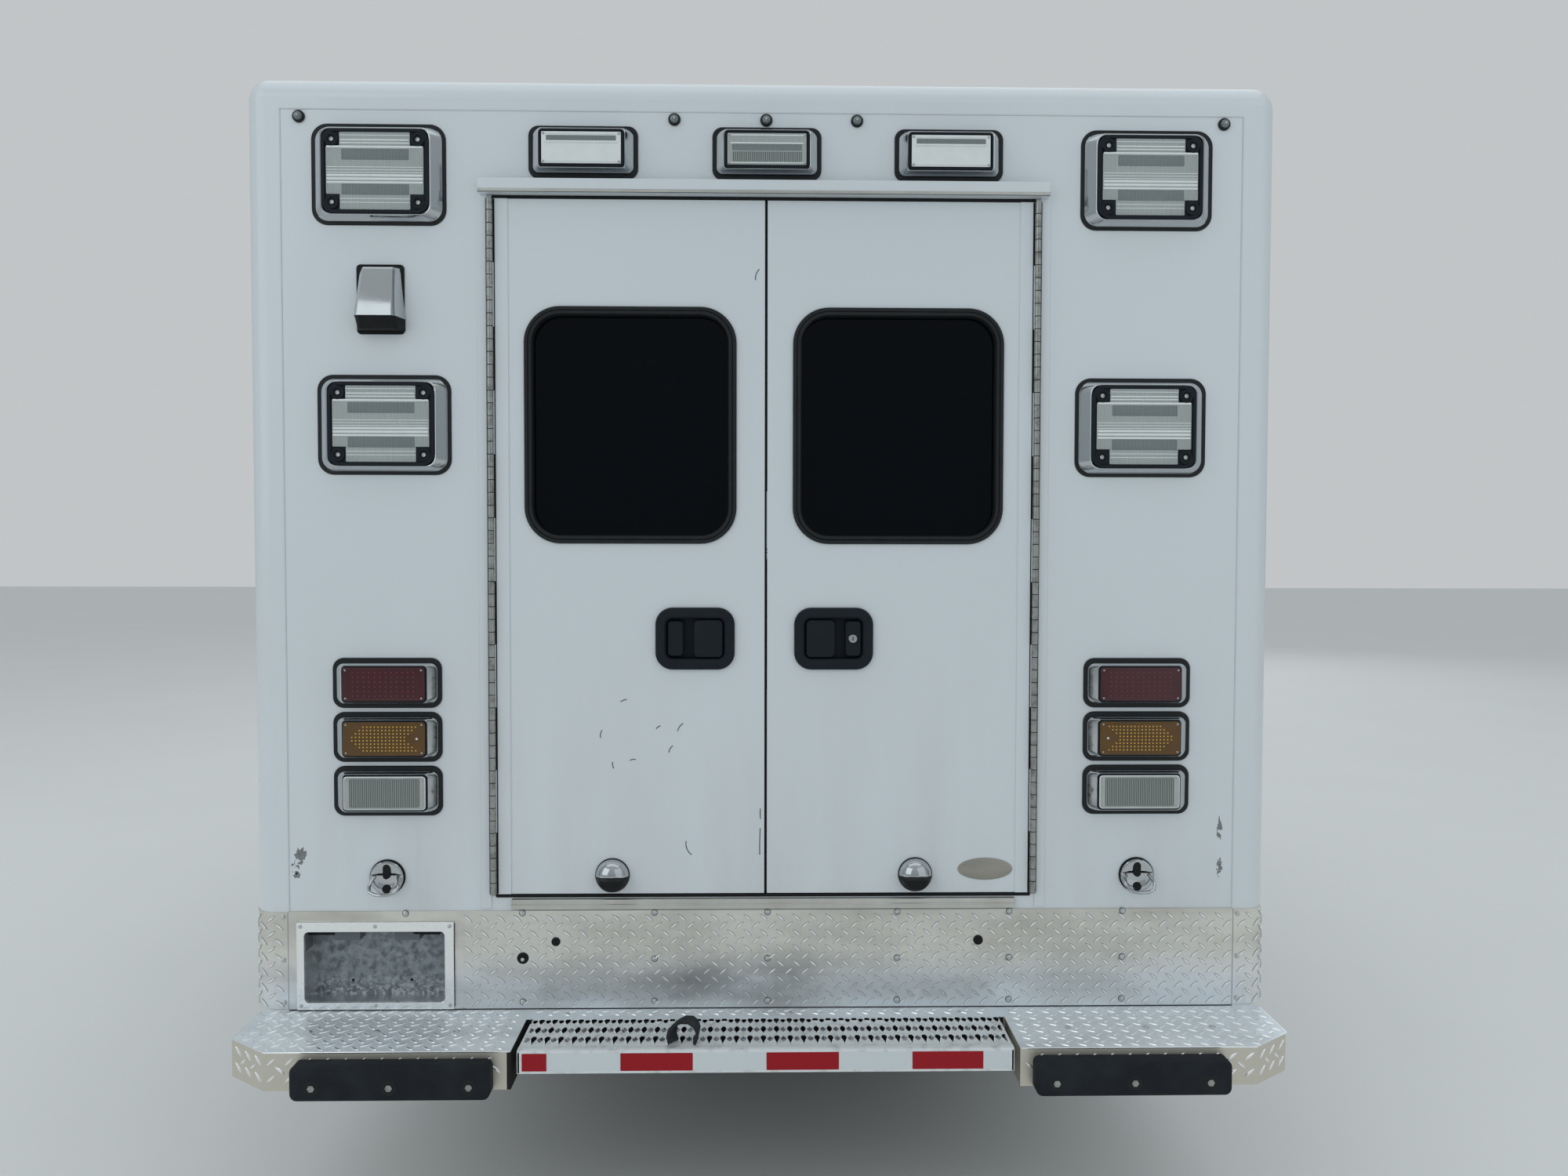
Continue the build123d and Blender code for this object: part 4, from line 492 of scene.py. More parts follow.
# The two strips standing proud along the doors' top and bottom edges are partly rubber seals and partly
# painted shade, the top one under the drip rail.
for reach, y, z in ((597, SEAL_Y, (2293.5, 2297.2)), (597, SEAL_Y, (745.3, 749)),
                    (600, (-2.4, 2), (742.6, 749.2)), (600, (-2.4, 2), (2292.8, 2298.6))):
    seal.box((-reach, reach), y, z, edge=0.8)
for side, word in SIDES:
    # A black strip beside each hinge on the body is painted shade, and the black pin is painted shade between
    # the knuckles.
    seal.box(span(side, 609.0, 614.0), (-3.2, 0), (750, 2292), edge=0.3)
    seal.turned(on_top(side * HINGE_X, -HINGE_OUT, 0), [(PIN_R, 751), (PIN_R, 2291)], sides=28)
    # A black strip beside each hinge on the door: painted shade.
    bead = Work()
    bead.box(span(side, 594.0, 597.8), (-3.2, 0.2), (751, 2291), edge=0.3)
    bead.make(f"rear_hinge_{word}_bead", f"rear_door_{word}_leaf", "black_rubber", [door_rubber])
seal.make("rear_door_frame_seal", "chassis", "black_rubber", [door_rubber])
middle_seal = Work()
middle_seal.box((-3.5, 4.5), (4, 34), (752, 2290), edge=1.2)
middle_seal.make("rear_door_middle_seal", "rear_door_left_leaf", "black_rubber", [door_rubber])

# Drip rail over the rear doors, a bent strip painted with the body, and the aluminium strip
# under them, an extrusion with a mill finish.
mill_aluminium, tree, shader = surface("mill_finish_aluminium", "#dad9d4", 0.34, 1.0)
lines = patches(tree, 6, 3.0, (0.03, 1, 1))
roughened(shader, lines, 0.3, 0.7, 0.26, 0.46)
toned(shader, patches(tree, 60, 4.0), "#dfded9", "#bdb9b0")
strip = Work()
strip.box((-564, 564), (-12, 0), (718, 740.5), edge=0.6)
strip.box((-564, 564), (-13.6, -11.5), (727, 730), edge=0.5)
strip.make("rear_sill_strip", "chassis", "galvanised", [mill_aluminium])
RAIL_X = (-626, 626)
rail = Work()
rail.box(RAIL_X, (-26, -23.5), (2299, 2330), edge=0.5)
rail.box(RAIL_X, (-26, 0), (2299, 2301.5), edge=0.6)
rail.box(RAIL_X, (-3, 0), (2299, 2329), edge=0.4)
for side in (-1, 1):
    rail.box(span(side, 610, 633), (-2.2, 0), (718, 2300), edge=0.4)
rail.box(RAIL_X, (-27.4, -25.8), (2300.5, 2307), 1, 0.4)
rail = rail.make("rear_drip_rail_and_leaves", "chassis", "white_paint", [module_enamel, mill_aluminium])
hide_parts("rear_fittings")


# Tinted rear and side windows sit in self-locking rubber channels, so that only the rubber
# shows round the glass. The glass is privacy glass, nearly black from outside.
privacy_glass, tree, shader = surface("grey_privacy_glass", "#02050b", 0.03, IOR=1.52,
                                      Specular_IOR_Level=0.12)
roughened(shader, patches(tree, 120), 0.35, 0.8, 0.02, 0.07)
dress(privacy_glass, "rear_door_left_glass", "rear_door_right_glass")
window_rubber, tree, shader = surface("window_channel_rubber", "#14171a", 0.5, Specular_IOR_Level=0.35)
toned(shader, patches(tree, 30, 4.0), "#101316", "#202325")
relief(tree, shader, patches(tree, 1.2), 0.04)
WINDOW = (297.0, 1796.6, 443.0, 497.0, 67.0)


def channel(work, spot, width, height, radius, mark=0):
    """The rubber round one window: a flat outer lip, a bead and the locking strip inside it."""
    levels = [(13, 0), (13, 3.5), (11.5, 5.5), (8, 6.4), (5, 5.6), (4, 4.4), (2.5, 6.8), (-1, 7.4),
              (-4, 6.6), (-6, 3), (-6, -15)]
    rings = [(width + 2 * g, height + 2 * g, radius + g, d) for g, d in levels]
    work.plate(spot, rings, mark, (False, False), 12)


for side, word in SIDES:
    x, z, width, height, radius = WINDOW
    rubber = Work()
    channel(rubber, on_wall("rear", side * x, z), width, height, radius)
    rubber.make(f"rear_window_{word}_rubber", f"rear_door_{word}_leaf", "black_rubber", [window_rubber])


# Paddle handles of the rear doors: moulded nylon frames with a pull flap beside a finger
# well. Only the right one has a key lock.
HANDLE = (154.5, 1324.0, 176.5, 138.5)
moulded_nylon, tree, shader = surface("moulded_black_nylon", "#0c141c", 0.55, IOR=1.53,
                                      Specular_IOR_Level=0.25)
relief(tree, shader, patches(tree, 0.9, 2.0), 0.04)
toned(shader, patches(tree, 50), "#0a121a", "#131c25")
chrome, tree, shader = surface("chrome_plate", "#bfc2c4", 0.07, 1.0)
roughened(shader, patches(tree, 30, 4.0), 0.35, 0.8, 0.05, 0.16)


def paddle_handle(work, spot, toward, locked, over=0.0):
    """A handle on a wall, its flap on the right where toward is 1; over makes it that much larger."""
    width, height = HANDLE[2] + over, HANDLE[3] + over
    lip = 3 * over
    work.plate(spot, [(width, height, 38, 0), (width, height, 38, 5), (width - 3, height - 3, 36.5, 8.5),
                      (width - 9, height - 9, 33, 10.5), (138, 99, 17, 11), (134 - lip, 94 - lip, 15, 9.5),
                      (128 - lip, 88 - lip, 14, 4), (126 - lip, 86 - lip, 14, -17)], 0, (False, False), 8)
    work.plate(spot, [(126 - lip, 86 - lip, 14, -17), (30, 20, 4, -18)], 0)
    flap = shifted(spot, toward * 30)
    bulge = []
    for w, h, r, d in ((63, 84, 10, -8), (63, 84, 10, 3), (61, 82, 9, 6), (55, 76, 8, 7.2)):
        w, h = w + 2 * over, h + over
        bulge.append([flap(u - toward * 3.5 * cos(v / h * pi) * (1 if u * toward < 0 else 0), v, d)
                      for u, v in round_rect(w, h, r, 6)])
    work.skin(bulge, 0, (False, True))
    ledge = shifted(spot, -toward * 44)
    wide, tall = 36 + 2 * over, 80 + 2 * over
    work.plate(ledge, [(wide, tall, 8, -17), (wide, tall, 8, 0), (wide - 4, tall - 4, 7, 2.5)], 0)
    if locked:
        lock = shifted(spot, -toward * 43.3)
        work.turned(lock, [(10, 0), (10, 4), (9, 5), (7.5, 5), (7, 4.2)], 1)
        work.plate(lock, [(2.2, 9, 0.8, 4.3), (2.2, 9, 0.8, 4.5)], 0)


for side, word in SIDES:
    handle = Work()
    paddle_handle(handle, on_wall("rear", side * HANDLE[0], HANDLE[1]), -side, side > 0)
    handle = handle.make(f"rear_handle_{word}", f"rear_door_{word}_leaf", "black_plastic",
                         [moulded_nylon, chrome])
    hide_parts(f"rear_door_{word}_fittings")

# A bare oval plate of brushed aluminium, pressed with a slightly raised middle, is glued low on
# the right door.
brushed_plate, tree, shader = surface("brushed_aluminium_plate", "#a8a49a", 0.4, 1.0)
roughened(shader, patches(tree, 4, 3.0, (0.05, 1, 1)), 0.3, 0.7, 0.3, 0.5)
badge = Work()
spot = on_wall("rear", 498, 804)
turns = [2 * pi * k / 40 for k in range(40)]
badge.skin([[spot(a * cos(t), b * sin(t), d) for t in turns]
            for a, b, d in ((62, 25, 0), (62, 25, 1.2), (60.5, 23.5, 2))], 0, (False, True))
badge.make("rear_oval_plate", "rear_door_right_leaf", "galvanised", [brushed_plate])


# Door holders: a chromed cone low on each door, its lower half black as a painted reflection of
# the dark ground, and a socket with a pull ring on the wall beside it that grips the cone when the
# door is fully open.
HOLDER_Z = 790.0
CATCH_X = 340.0
SOCKET_X = 841.0
# Profiles as radius and distance out: the upper half of a catch, and its lower half, black as a painted
# reflection
DOME = [(37, 3), (36.5, 8), (34, 15), (29, 22), (22, 28), (13, 32), (3, 33.5)]
DARK_REFLECTION_HALF = [(37.5, 3), (37, 8), (31, 28), (25, 46), (21, 51), (12, 53)]
PULL_RING = [(-26, 2, 9), (-31, -6, 20), (-32, -15, 32), (-27, -23, 42), (-15, -27, 47), (0, -28, 48.5),
             (15, -27, 47), (27, -23, 42), (32, -15, 32), (31, -6, 20), (26, 2, 9)]
half_turn = [pi * k / 20 for k in range(21)]
for side, word in SIDES:
    catch = Work()
    foot = on_wall("rear", side * CATCH_X, HOLDER_Z + 2)
    catch.turned(foot, [(38.5, 0), (38.5, 3), (36, 4)], 1, 40)
    # The lower half is black: a painted reflection of the dark ground.
    for mark, way, profile in ((0, 1, DOME), (1, -1, DARK_REFLECTION_HALF)):
        catch.skin([[foot(r * cos(t), way * r * sin(t), d) for t in half_turn] for r, d in profile],
                   mark, (False, True))
    catch.make(f"rear_catch_{word}", f"rear_door_{word}_leaf", "chrome", [chrome, door_rubber])
    socket = Work()
    cup = on_wall("rear", side * SOCKET_X, HOLDER_Z)
    socket.turned(cup, [(39.5, 0), (39.5, 3), (37, 4)], 1, 40)
    socket.turned(cup, [(37, 2), (37, 8), (35, 10.5), (31, 11.5), (22, 9), (14, 7.5)], 0, 40)
    x = side * SOCKET_X
    socket.box((x - 33, x + 33), (-12.6, -10), (HOLDER_Z + 6, HOLDER_Z + 8), 1, 0.5)
    socket.plate(shifted(cup, 0, 14), [(16, 34, 8, 8), (15, 33, 7.5, 12.4)], 1)
    socket.turned(shifted(cup, 0, -25), [(10, 8), (9.5, 12)], 1, 18)
    socket.tube([cup(*p) for p in PULL_RING], 4, 0, 10)
    socket.make(f"rear_socket_{word}", "chassis", "chrome", [chrome, door_rubber])

# Scene light between the two large lamps on the left: a pressed and chromed hood on a rubber
# gasket, screwed to the wall and open below.
LIGHT_X = -843
HOOD = [
    # height of a section, its width, how far it stands out, and its flare at the wall
    (2141, 78, 8.08, 4), (2136, 80, 21.76, 5), (2126, 81, 27.08, 6), (2040, 88, 52.16, 8),
    (2026, 90, 55.2, 9),
]
hood_light = Work()
gasket = on_wall("rear", LIGHT_X - 1, 2070)
hood_light.plate(gasket, [(104, 152, 9, 0), (104, 152, 9, 3.5), (100, 148, 8, 4)], 1)
sections = []
for z, wide, out, flare in HOOD:
    half = wide / 2
    arch = [(-half - flare, -3), (-half, 9 - out), (8 - half, -out), (half - 8, -out), (half, 9 - out),
            (half + flare, -3)]
    sections.append([(LIGHT_X + u, y, z) for u, y in arch])
sections.append([(x, -3 if y == -3 else y + 20, 2000) for x, y, z in sections[-1]])
hood_light.skin(sections[:5], 0, (True, False))
hood_light.skin([[(x * 0.98 + LIGHT_X * 0.02, y * 0.96, z + 0.6) for x, y, z in row]
                 for row in sections[4:]], 1)
hood_light.make("rear_hooded_light", "chassis", "chrome", [chrome, door_rubber])


# Warning, tail and marker lamps. Each has a rubber foot, a chromed bezel and a moulded lens
# over its diodes; the lens cover is held by small screws in its corners.
def ribbed(tree, shader, gap, deep):
    """Upright moulded ribs gap millimetres apart, on a wall of either direction."""
    across = number(tree, "ADD", coordinate(tree, "X"), coordinate(tree, "Y"))
    wave = number(tree, "SINE", number(tree, "MULTIPLY", across, 2 * pi * 1000 / gap))
    relief(tree, shader, wave, deep)
    return wave


def moulding(name, colour, other, size, gap=0.0, roughness=0.14):
    """A clear or tinted plastic lens that shows what lies behind it in two tones."""
    made, tree, shader = surface(name, colour, roughness, IOR=1.5, Coat_Weight=0.15, Coat_Roughness=0.04)
    tone = patches(tree, size, 3.0)
    if gap:
        tone = graded(tree, ribbed(tree, shader, gap, 0.5), -1, 1, 0.0, 1.0)
    toned(shader, tone, colour, other)
    return made


# Ribs are 3 mm apart on the warning lamps and 4.1 mm on the reversing lamp
lens_clear = moulding("clear_ribbed_polycarbonate", "#a9b0af", "#c6cbc8", 40, 3.0)
lens_smooth = moulding("clear_polycarbonate_bar", "#e3e8e8", "#f4f6f5", 30)
window_clear = moulding("clear_lens_over_diodes", "#6d7678", "#949c9c", 8, 3.0)
reverse_clear = moulding("clear_fluted_acrylic", "#4c5557", "#a4aaa5", 20, 4.1)
reflector, tree, shader = surface("metallised_reflector", "#c4c8c8", 0.3, 0.75)
toned(shader, patches(tree, 40, 4.0), "#cdd1d0", "#a3a6a2")
red_lens = moulding("red_acrylic", "#33040f", "#4f0817", 60)
red_diode = moulding("red_diode_dome", "#7d2438", "#93304a", 20)
amber_lens = moulding("amber_acrylic", "#4a3000", "#6b4700", 60)
amber_diode = moulding("amber_diode_dome", "#e0a630", "#efc155", 20)
LAMP_FINISHES = [window_rubber, chrome, moulded_nylon, lens_clear, reflector, window_clear, lens_smooth,
                 red_lens, red_diode, amber_lens, amber_diode, reverse_clear]
RUBBER, CHROME, BLACK, RIBBED, MIRROR, WINDOW_TONE, BAR, RED, RED_DOT, AMBER, AMBER_DOT, FLUTED = range(12)


def lamp_foot(work, spot, gasket, bezel, top, radius, high):
    """Rubber gasket and chromed bezel that rises from its foot to the lens."""
    w, h = gasket
    work.plate(spot, [(w, h, radius, 0), (w, h, radius, 3), (w - 3, h - 3, radius - 1.5, 5),
                      (bezel[0] - 2, bezel[1] - 2, radius - 6, 5.2)], RUBBER, (False, False), 8)
    w, h = bezel
    tw, th = top
    work.plate(spot, [(w, h, radius - 6, 3), (w, h, radius - 6, 7), (w - 3, h - 3, radius - 7.5, 9.5),
                      (tw + 5, th + 4, radius - 14, high - 3), (tw + 2, th + 1, radius - 15, high - 1),
                      (tw - 2, th - 2, radius - 16, high - 2), (tw - 2, th - 2, radius - 16, high - 8)],
               CHROME, (False, False), 8)


def lens_bar(work, spot, u0, u1, v, out, radius, mark=BAR):
    """A half-round moulded bar across a lens."""
    loops = []
    for u in (u0, u0 + radius * 0.6, u1 - radius * 0.6, u1):
        r = radius if u0 < u < u1 else radius * 0.4
        loops.append([spot(u, v + r * cos(t), out + r * sin(t)) for t in (pi * k / 6 for k in range(7))])
    work.skin(loops, mark)


def dot(work, spot, u, v, out, radius, mark):
    """A diode's dome or a screw's head."""
    profile = [(radius, out), (radius * 0.8, out + radius * 0.55), (radius * 0.35, out + radius * 0.8)]
    work.turned(shifted(spot, u, v), profile, mark, 6)


def lens_block(work, spot, u, v, out, mark):
    """A moulded block of a lens between limits across and up, standing 3 mm high."""
    near = shifted(spot, sum(u) / 2, sum(v) / 2, out)
    w, h = u[1] - u[0], v[1] - v[0]
    work.plate(near, [(w, h, 2, -3), (w, h, 2, 0), (w - 2, h - 2, 1, 0.8)], mark, (False, True), 2)


LAMP_FLATNESS = 0.66
CORNERS = [(-1, -1), (-1, 1), (1, -1), (1, 1)]


def large_lamp(work, place):
    """A large warning lamp, a third flatter than its numbers say."""
    spot = lambda u, v, d: place(u, v, d * LAMP_FLATNESS)
    lamp_foot(work, spot, (293, 219.5), (277, 203), (235, 184), 35, 45)
    work.plate(spot, [(233, 182, 26, 20), (233, 182, 26, 44), (231, 180, 25, 46.5), (217, 168, 20, 46.5),
                      (214, 165, 19, 42)], BLACK, (False, True), 6)
    lens_block(work, spot, (-105, 105), (-50, 52), 44, RIBBED)
    for v in ((52, 83), (-83, -50)):
        lens_block(work, spot, (-76, 76), v, 44, RIBBED)
    for v in ((23, 47), (-52, -28)):
        lens_block(work, spot, (-72, 74), v, 44.6, WINDOW_TONE)
    for v, r in ((66, 1.6), (59.5, 1.4), (51, 2.4), (8, 0.8), (2, 0.8), (-4, 0.8), (-10, 2.6), (-17.5, 2.9),
                 (-25, 2.4), (-60, 0.8), (-68, 0.8), (76, 0.8)):
        reach = 75 if abs(v) > 52 else 104
        lens_bar(work, spot, -reach, reach, v, 44.9, r)
    for su, sv in CORNERS:
        boss = shifted(spot, su * 93, sv * 67.5)
        work.turned(boss, [(15, 40), (15, 47), (13.5, 48.5), (9.5, 48.5), (8, 45), (5.5, 44.5)], BLACK, 20)
        work.turned(boss, [(4.6, 44), (4.6, 46), (3.6, 47), (1.2, 46)], MIRROR, 10)


def small_lamp(work, spot, fluted):
    """A lamp of half height: a plain bright bar, or ribbed with a fluted lower half."""
    lamp_foot(work, spot, (240, 114), (223, 97), (187, 82), 22, 35)
    work.plate(spot, [(185, 80, 8, 16), (185, 80, 8, 34), (183, 78, 7, 35.5), (178, 73, 5, 35.5),
                      (176, 71, 4, 33)], BLACK, (False, True), 3)
    lens_block(work, spot, (-86, 86), (-34, 34), 35, RIBBED if fluted else BAR)
    lens_block(work, spot, (-76, 76), (14, 26) if not fluted else (-4, 12), 35.6, WINDOW_TONE)
    if fluted:
        lens_block(work, spot, (-76, 76), (-28, -6), 35.6, FLUTED)
    for v, r in ((29, 1.4), (12, 2.6 if not fluted else 1.8), (-30, 1.2)):
        lens_bar(work, spot, -80, 80, v, 36, r)
    for su, sv in CORNERS:
        dot(work, spot, su * 82, sv * 30, 35.8, 3.2, MIRROR)


def tail_lamp(work, spot, kind, arrow):
    """A red, amber or clear lamp; the amber diodes form a chevron that points along arrow."""
    lamp_foot(work, spot, (240.5, 111.5), (225, 93), (187, 81), 24, 30)
    glass, edge = {"red": (RED, RED), "amber": (AMBER, AMBER), "clear": (MIRROR, BAR)}[kind]
    work.plate(spot, [(185, 79.5, 8, 18), (185, 79.5, 8, 29), (183, 77.5, 7, 30.5)], BLACK, (False, True), 3)
    work.plate(spot, [(180, 74, 7, 30.3), (180, 74, 7, 31.6), (177, 71, 6, 32.6)], edge, (False, False), 3)
    work.plate(spot, [(177, 71, 6, 32.6), (171, 65, 5, 32.6), (169, 63, 4, 31.8)], glass, (False, True), 3)
    if kind == "red":
        for k in range(12):
            for row in range(6):
                dot(work, spot, -67 + 12.1 * k, -26 + 10.4 * row, 31.7, 1.9, RED_DOT)
    if kind == "amber":
        for row in range(8):
            shift = arrow * (abs(row - 3.5) - 0.5) * 8.2
            for k in range(15):
                u = -arrow * 12.3 - 57.4 + 8.2 * k + shift
                dot(work, spot, u, -26.2 + 7.5 * row, 31.7, 1.9, AMBER_DOT)
        dot(work, spot, arrow * 72, 0, 31.5, 3, BAR)
    if kind == "clear":
        lens_block(work, spot, (-77, 77), (-31, 31), 32.4, FLUTED)
    for su, sv in CORNERS:
        dot(work, spot, su * 83, sv * 31, 32, 2.6, MIRROR)


def marker_lamp(work, spot):
    """A clearance light the size of a thumbnail."""
    work.turned(spot, [(13.5, 0), (13.5, 4), (12, 6), (9, 6.5)], RUBBER, 20, (False, False))
    work.turned(spot, [(9.3, 4), (9, 9), (7, 12), (3.5, 13)], WINDOW_TONE, 16)
    dot(work, spot, 0, 0, 12.6, 3.4, MIRROR)


LAMP_TABLE = [
    # wall, kind, along, z
    *[("rear", "large", x, z) for x, z in ((-845.5, 2341), (845.5, 2341), (-838, 1795.5), (838, 1795.5))],
    *[("rear", "small", x, z) for x, z in ((-399, 2393), (4, 2393), (405.5, 2392))],
    *[("rear", kind, x, z) for x in (-837, 837)
      for kind, z in (("red", 1225), ("amber", 1104.5), ("clear", 984))],
    *[("rear", "marker", x, 2466) for x in (-1018.6, -199.3, 2.6, 202.3, 1017)],
    *[(wall, "large", y, 2341) for wall in ("left", "right") for y in (300, 1210, 2130, 3460)],
    *[(wall, "small", 1728, 960) for wall in ("left", "right")],
    *[(wall, "marker", y, 2466) for wall in ("left", "right") for y in (90, 3670)],
    *[("front", "large", x, 2330) for x in (-900, 900)],
    *[("front", "small", x, 2345) for x in (-560, -200, 200, 560)],
    *[("front", "marker", x, 2466) for x in (-1018, -200, 0, 200, 1018)],
]
lamp_works = {}
for wall, kind, along, z in LAMP_TABLE:
    group = lamp_works.setdefault(wall, Work())
    spot = on_wall(wall, along, z)
    if kind == "large":
        large_lamp(group, spot)
    elif kind == "small":
        small_lamp(group, spot, not (wall == "rear" and abs(along) > 100))
    elif kind == "marker":
        marker_lamp(group, spot)
    else:
        tail_lamp(group, spot, kind, 1 if along < 0 else -1)
for wall, group in lamp_works.items():
    made = group.make(f"{wall}_lamps_dressed", "chassis", "lamp_clear", LAMP_FINISHES)
    if wall == "rear":
        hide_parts("rear_lamps")
    elif wall == "left":
        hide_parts("body_lamps")


# Kick plate under the doors: aluminium tread plate with its lugs rolled up from the sheet,
# crossing lugs 36.8 by 34.8 mm apart. Small screws with washers hold it to the wall.
LUG_GAP = (36.8, 34.8)
LUG = (27.0, 6.6, 1.5)
LUG_TILT = 40.0
tread_plate, tree, shader = surface("aluminium_tread_plate", "#e2dfd6", 0.36, 1.0)
# Low on the plate the tone turns lighter and bluish, a painted reflection of the bright deck below it.
bright = tinted(tree, graded(tree, coordinate(tree, "Z"), 0.545, 0.62, 0.0, 1.0), "#eaedf0", "#e6e3db")
smear = graded(tree, patches(tree, 90, 5.0, (0.35, 1, 1)), 0.42, 0.72, 0.0, 0.6)
dull = tinted(tree, smear, bright, "#b3afa6")
# Over the plate's middle a dark bluish-grey patch, as wide as the step before it, is a painted reflection of
# the step.
stretched = add(tree, "Mapping", {"Vector": here(tree), "Scale": (0.16, 0, 1)})
away = add(tree, "VectorMath", {0: stretched.outputs["Vector"], 1: (-0.008, 0, 0.566)}, operation="DISTANCE")
road = both(tree, graded(tree, away.outputs["Value"], 0.015, 0.075, 1.0, 0.0),
            graded(tree, patches(tree, 60, 5.0, (0.4, 1, 1)), 0.38, 0.62, 0.05, 0.42))
toned(shader, road, dull, "#4b5258")
roughened(shader, patches(tree, 28, 5.0), 0.3, 0.75, 0.26, 0.5)
relief(tree, shader, patches(tree, 2.0, 3.0), 0.03)
# Near-white aluminium: on the lugs' crowns, the plank's rims and the deck's fold it is a painted highlight;
# the licence frame is this bright itself.
bright_aluminium_and_highlight, tree, shader = surface("bright_aluminium_and_painted_highlight", "#fafbfb", 0.24, 1.0)
roughened(shader, patches(tree, 15, 4.0), 0.3, 0.75, 0.15, 0.34)
kick_finish = tread_plate.copy()
kick_finish.name = "tread_plate_with_dull_recess"
# Inside the licence recess the sheet is as dull as the pan
zoned(kick_finish, lambda tree: both(tree, within(tree, "Y", -2.8465, 0), within(tree, "Z", 0.62, 0.674)),
      "#696e73", 0.6)
dress(kick_finish, "kick_plate")
# The lugs' flanks are darker grey: painted shade.
lug_flank_shade, tree, shader = surface("aluminium_lug_flanks_painted_shade", "#adafb0", 0.5, 0.8)
toned(shader, patches(tree, 40, 4.0), "#b9bbbc", "#8f908f")


def lug(work, spot, u, v, tilt, mark):
    """One lens-shaped lug, flat on top; its flanks take the material after the crown's."""
    long, wide, high = LUG
    turn = radians(tilt)
    outline = [(1, 0), (0.55, 0.62), (0, 1), (-0.55, 0.62), (-1, 0), (-0.55, -0.62), (0, -1), (0.55, -0.62)]
    loops = []
    for size, d in ((1.0, 0), (0.64, high)):
        ring = []
        for a, b in outline:
            p, q = a * long / 2 * (size + 0.2 if size < 1 else 1), b * wide / 2 * size
            ring.append(spot(u + p * cos(turn) - q * sin(turn), v + p * sin(turn) + q * cos(turn), d))
        loops.append(ring)
    work.skin(loops, mark + 1, (False, False))
    work.skin(loops[1:], mark, (False, True))


def lugs(work, spot, u, v, keep=None, mark=0):
    """Lugs over the field between limits u and v, where keep says so."""
    across, up = LUG_GAP
    for i in range(int(u[0] // across) - 1, int(u[1] // across) + 2):
        for j in range(int(v[0] // up) - 1, int(v[1] // up) + 2):
            for shift, tilt in ((0, -LUG_TILT), (0.5, LUG_TILT)):
                a, b = (i + shift) * across, (j + shift) * up
                if u[0] + 11 < a < u[1] - 11 and v[0] + 10 < b < v[1] - 10 and (keep is None or keep(a, b)):
                    lug(work, spot, a, b, tilt, mark)


zinc_screw, tree, shader = surface("zinc_plated_screw", "#d7dadb", 0.3, 1.0)
toned(shader, patches(tree, 5), "#e6e8e9", "#a6a8a7")
KICK_THICK = 4.0
LICENCE_FRAME = (-1042.0, -693.0, 493.0, 690.0)
KICK_SCREWS = [(x, z) for z in (708, 603, 507) for x in (-801, -541, -246, 8, 300, 553, 810) if
               not (x == -801 and z < 700)]
PLUGS = [(-540.5, 606, 13), (-466.6, 643, 10), (483, 643, 11)]


def clear_of_licence(x, z):
    """Whether a lug there clears the licence frame and the plugs."""
    x0, x1, z0, z1 = LICENCE_FRAME
    boxed = x0 - 14 < x < x1 + 14 and z < z1 + 12
    near = any(abs(x - a) < 17 and abs(z - b) < 15 for a, b, r in PLUGS)
    return not boxed and not near


kick = Work()
lugs(kick, on_wall("rear", 0, 0, KICK_THICK), (-1061, 1061), (490, 713), clear_of_licence, 0)
for x, z in KICK_SCREWS:
    head = on_wall("rear", x, z, KICK_THICK)
    kick.turned(head, [(7.4, 0), (7.4, 0.5), (6.2, 0.6)], 3, 14, (False, False))
    kick.turned(head, [(6.2, 0.5), (6.2, 1), (4.6, 1.6), (4.2, 2.6), (2.6, 3.6), (1, 3.7)], 2, 12)
# A thin black strip along the plate's foot, where it meets the deck: painted shade.
kick.box((-1062, 1062), (-5.6, -4), (490, 491.6), 3, 0.3)
kick.make("kick_plate_lugs", "chassis", "tread_plate", [bright_aluminium_and_highlight, lug_flank_shade, zinc_screw, door_rubber])
plugs = Work()
for x, z, r in PLUGS:
    spot = on_wall("rear", x, z, KICK_THICK)
    plugs.turned(spot, [(r, 0), (r, 1.5), (r - 2, 3.2), (r - 5, 3.6), (r - 6, 2.6), (2, 2.4)], 0, 20)
plugs.make("kick_plate_plugs", "chassis", "black_rubber", [door_rubber])

# Corner guards: tread plate bent round each lower corner post, with the kick plate's lugs, and
# screwed on at both edges.
GUARD_SIDE = 120.0
GUARD_THICK = 2.2
GUARD_Z = (492, 711)
GUARD_EDGE_X = 1064.0
CORNER_R = 50.0


def corner_spot(side):
    """Distances along the guard, from its rear edge round the corner, and up and outward."""
    flat = HALF - CORNER_R - GUARD_EDGE_X
    bend = pi / 2 * CORNER_R

    def spot(u, v, d):
        if u < flat:
            return (side * (GUARD_EDGE_X + u), -d, v)
        if u < flat + bend:
            turn, out = (u - flat) / CORNER_R, CORNER_R + d
            return (side * (HALF - CORNER_R + out * sin(turn)), CORNER_R - out * cos(turn), v)
        return (side * (HALF + d), CORNER_R + u - flat - bend, v)
    return spot, flat + bend + GUARD_SIDE


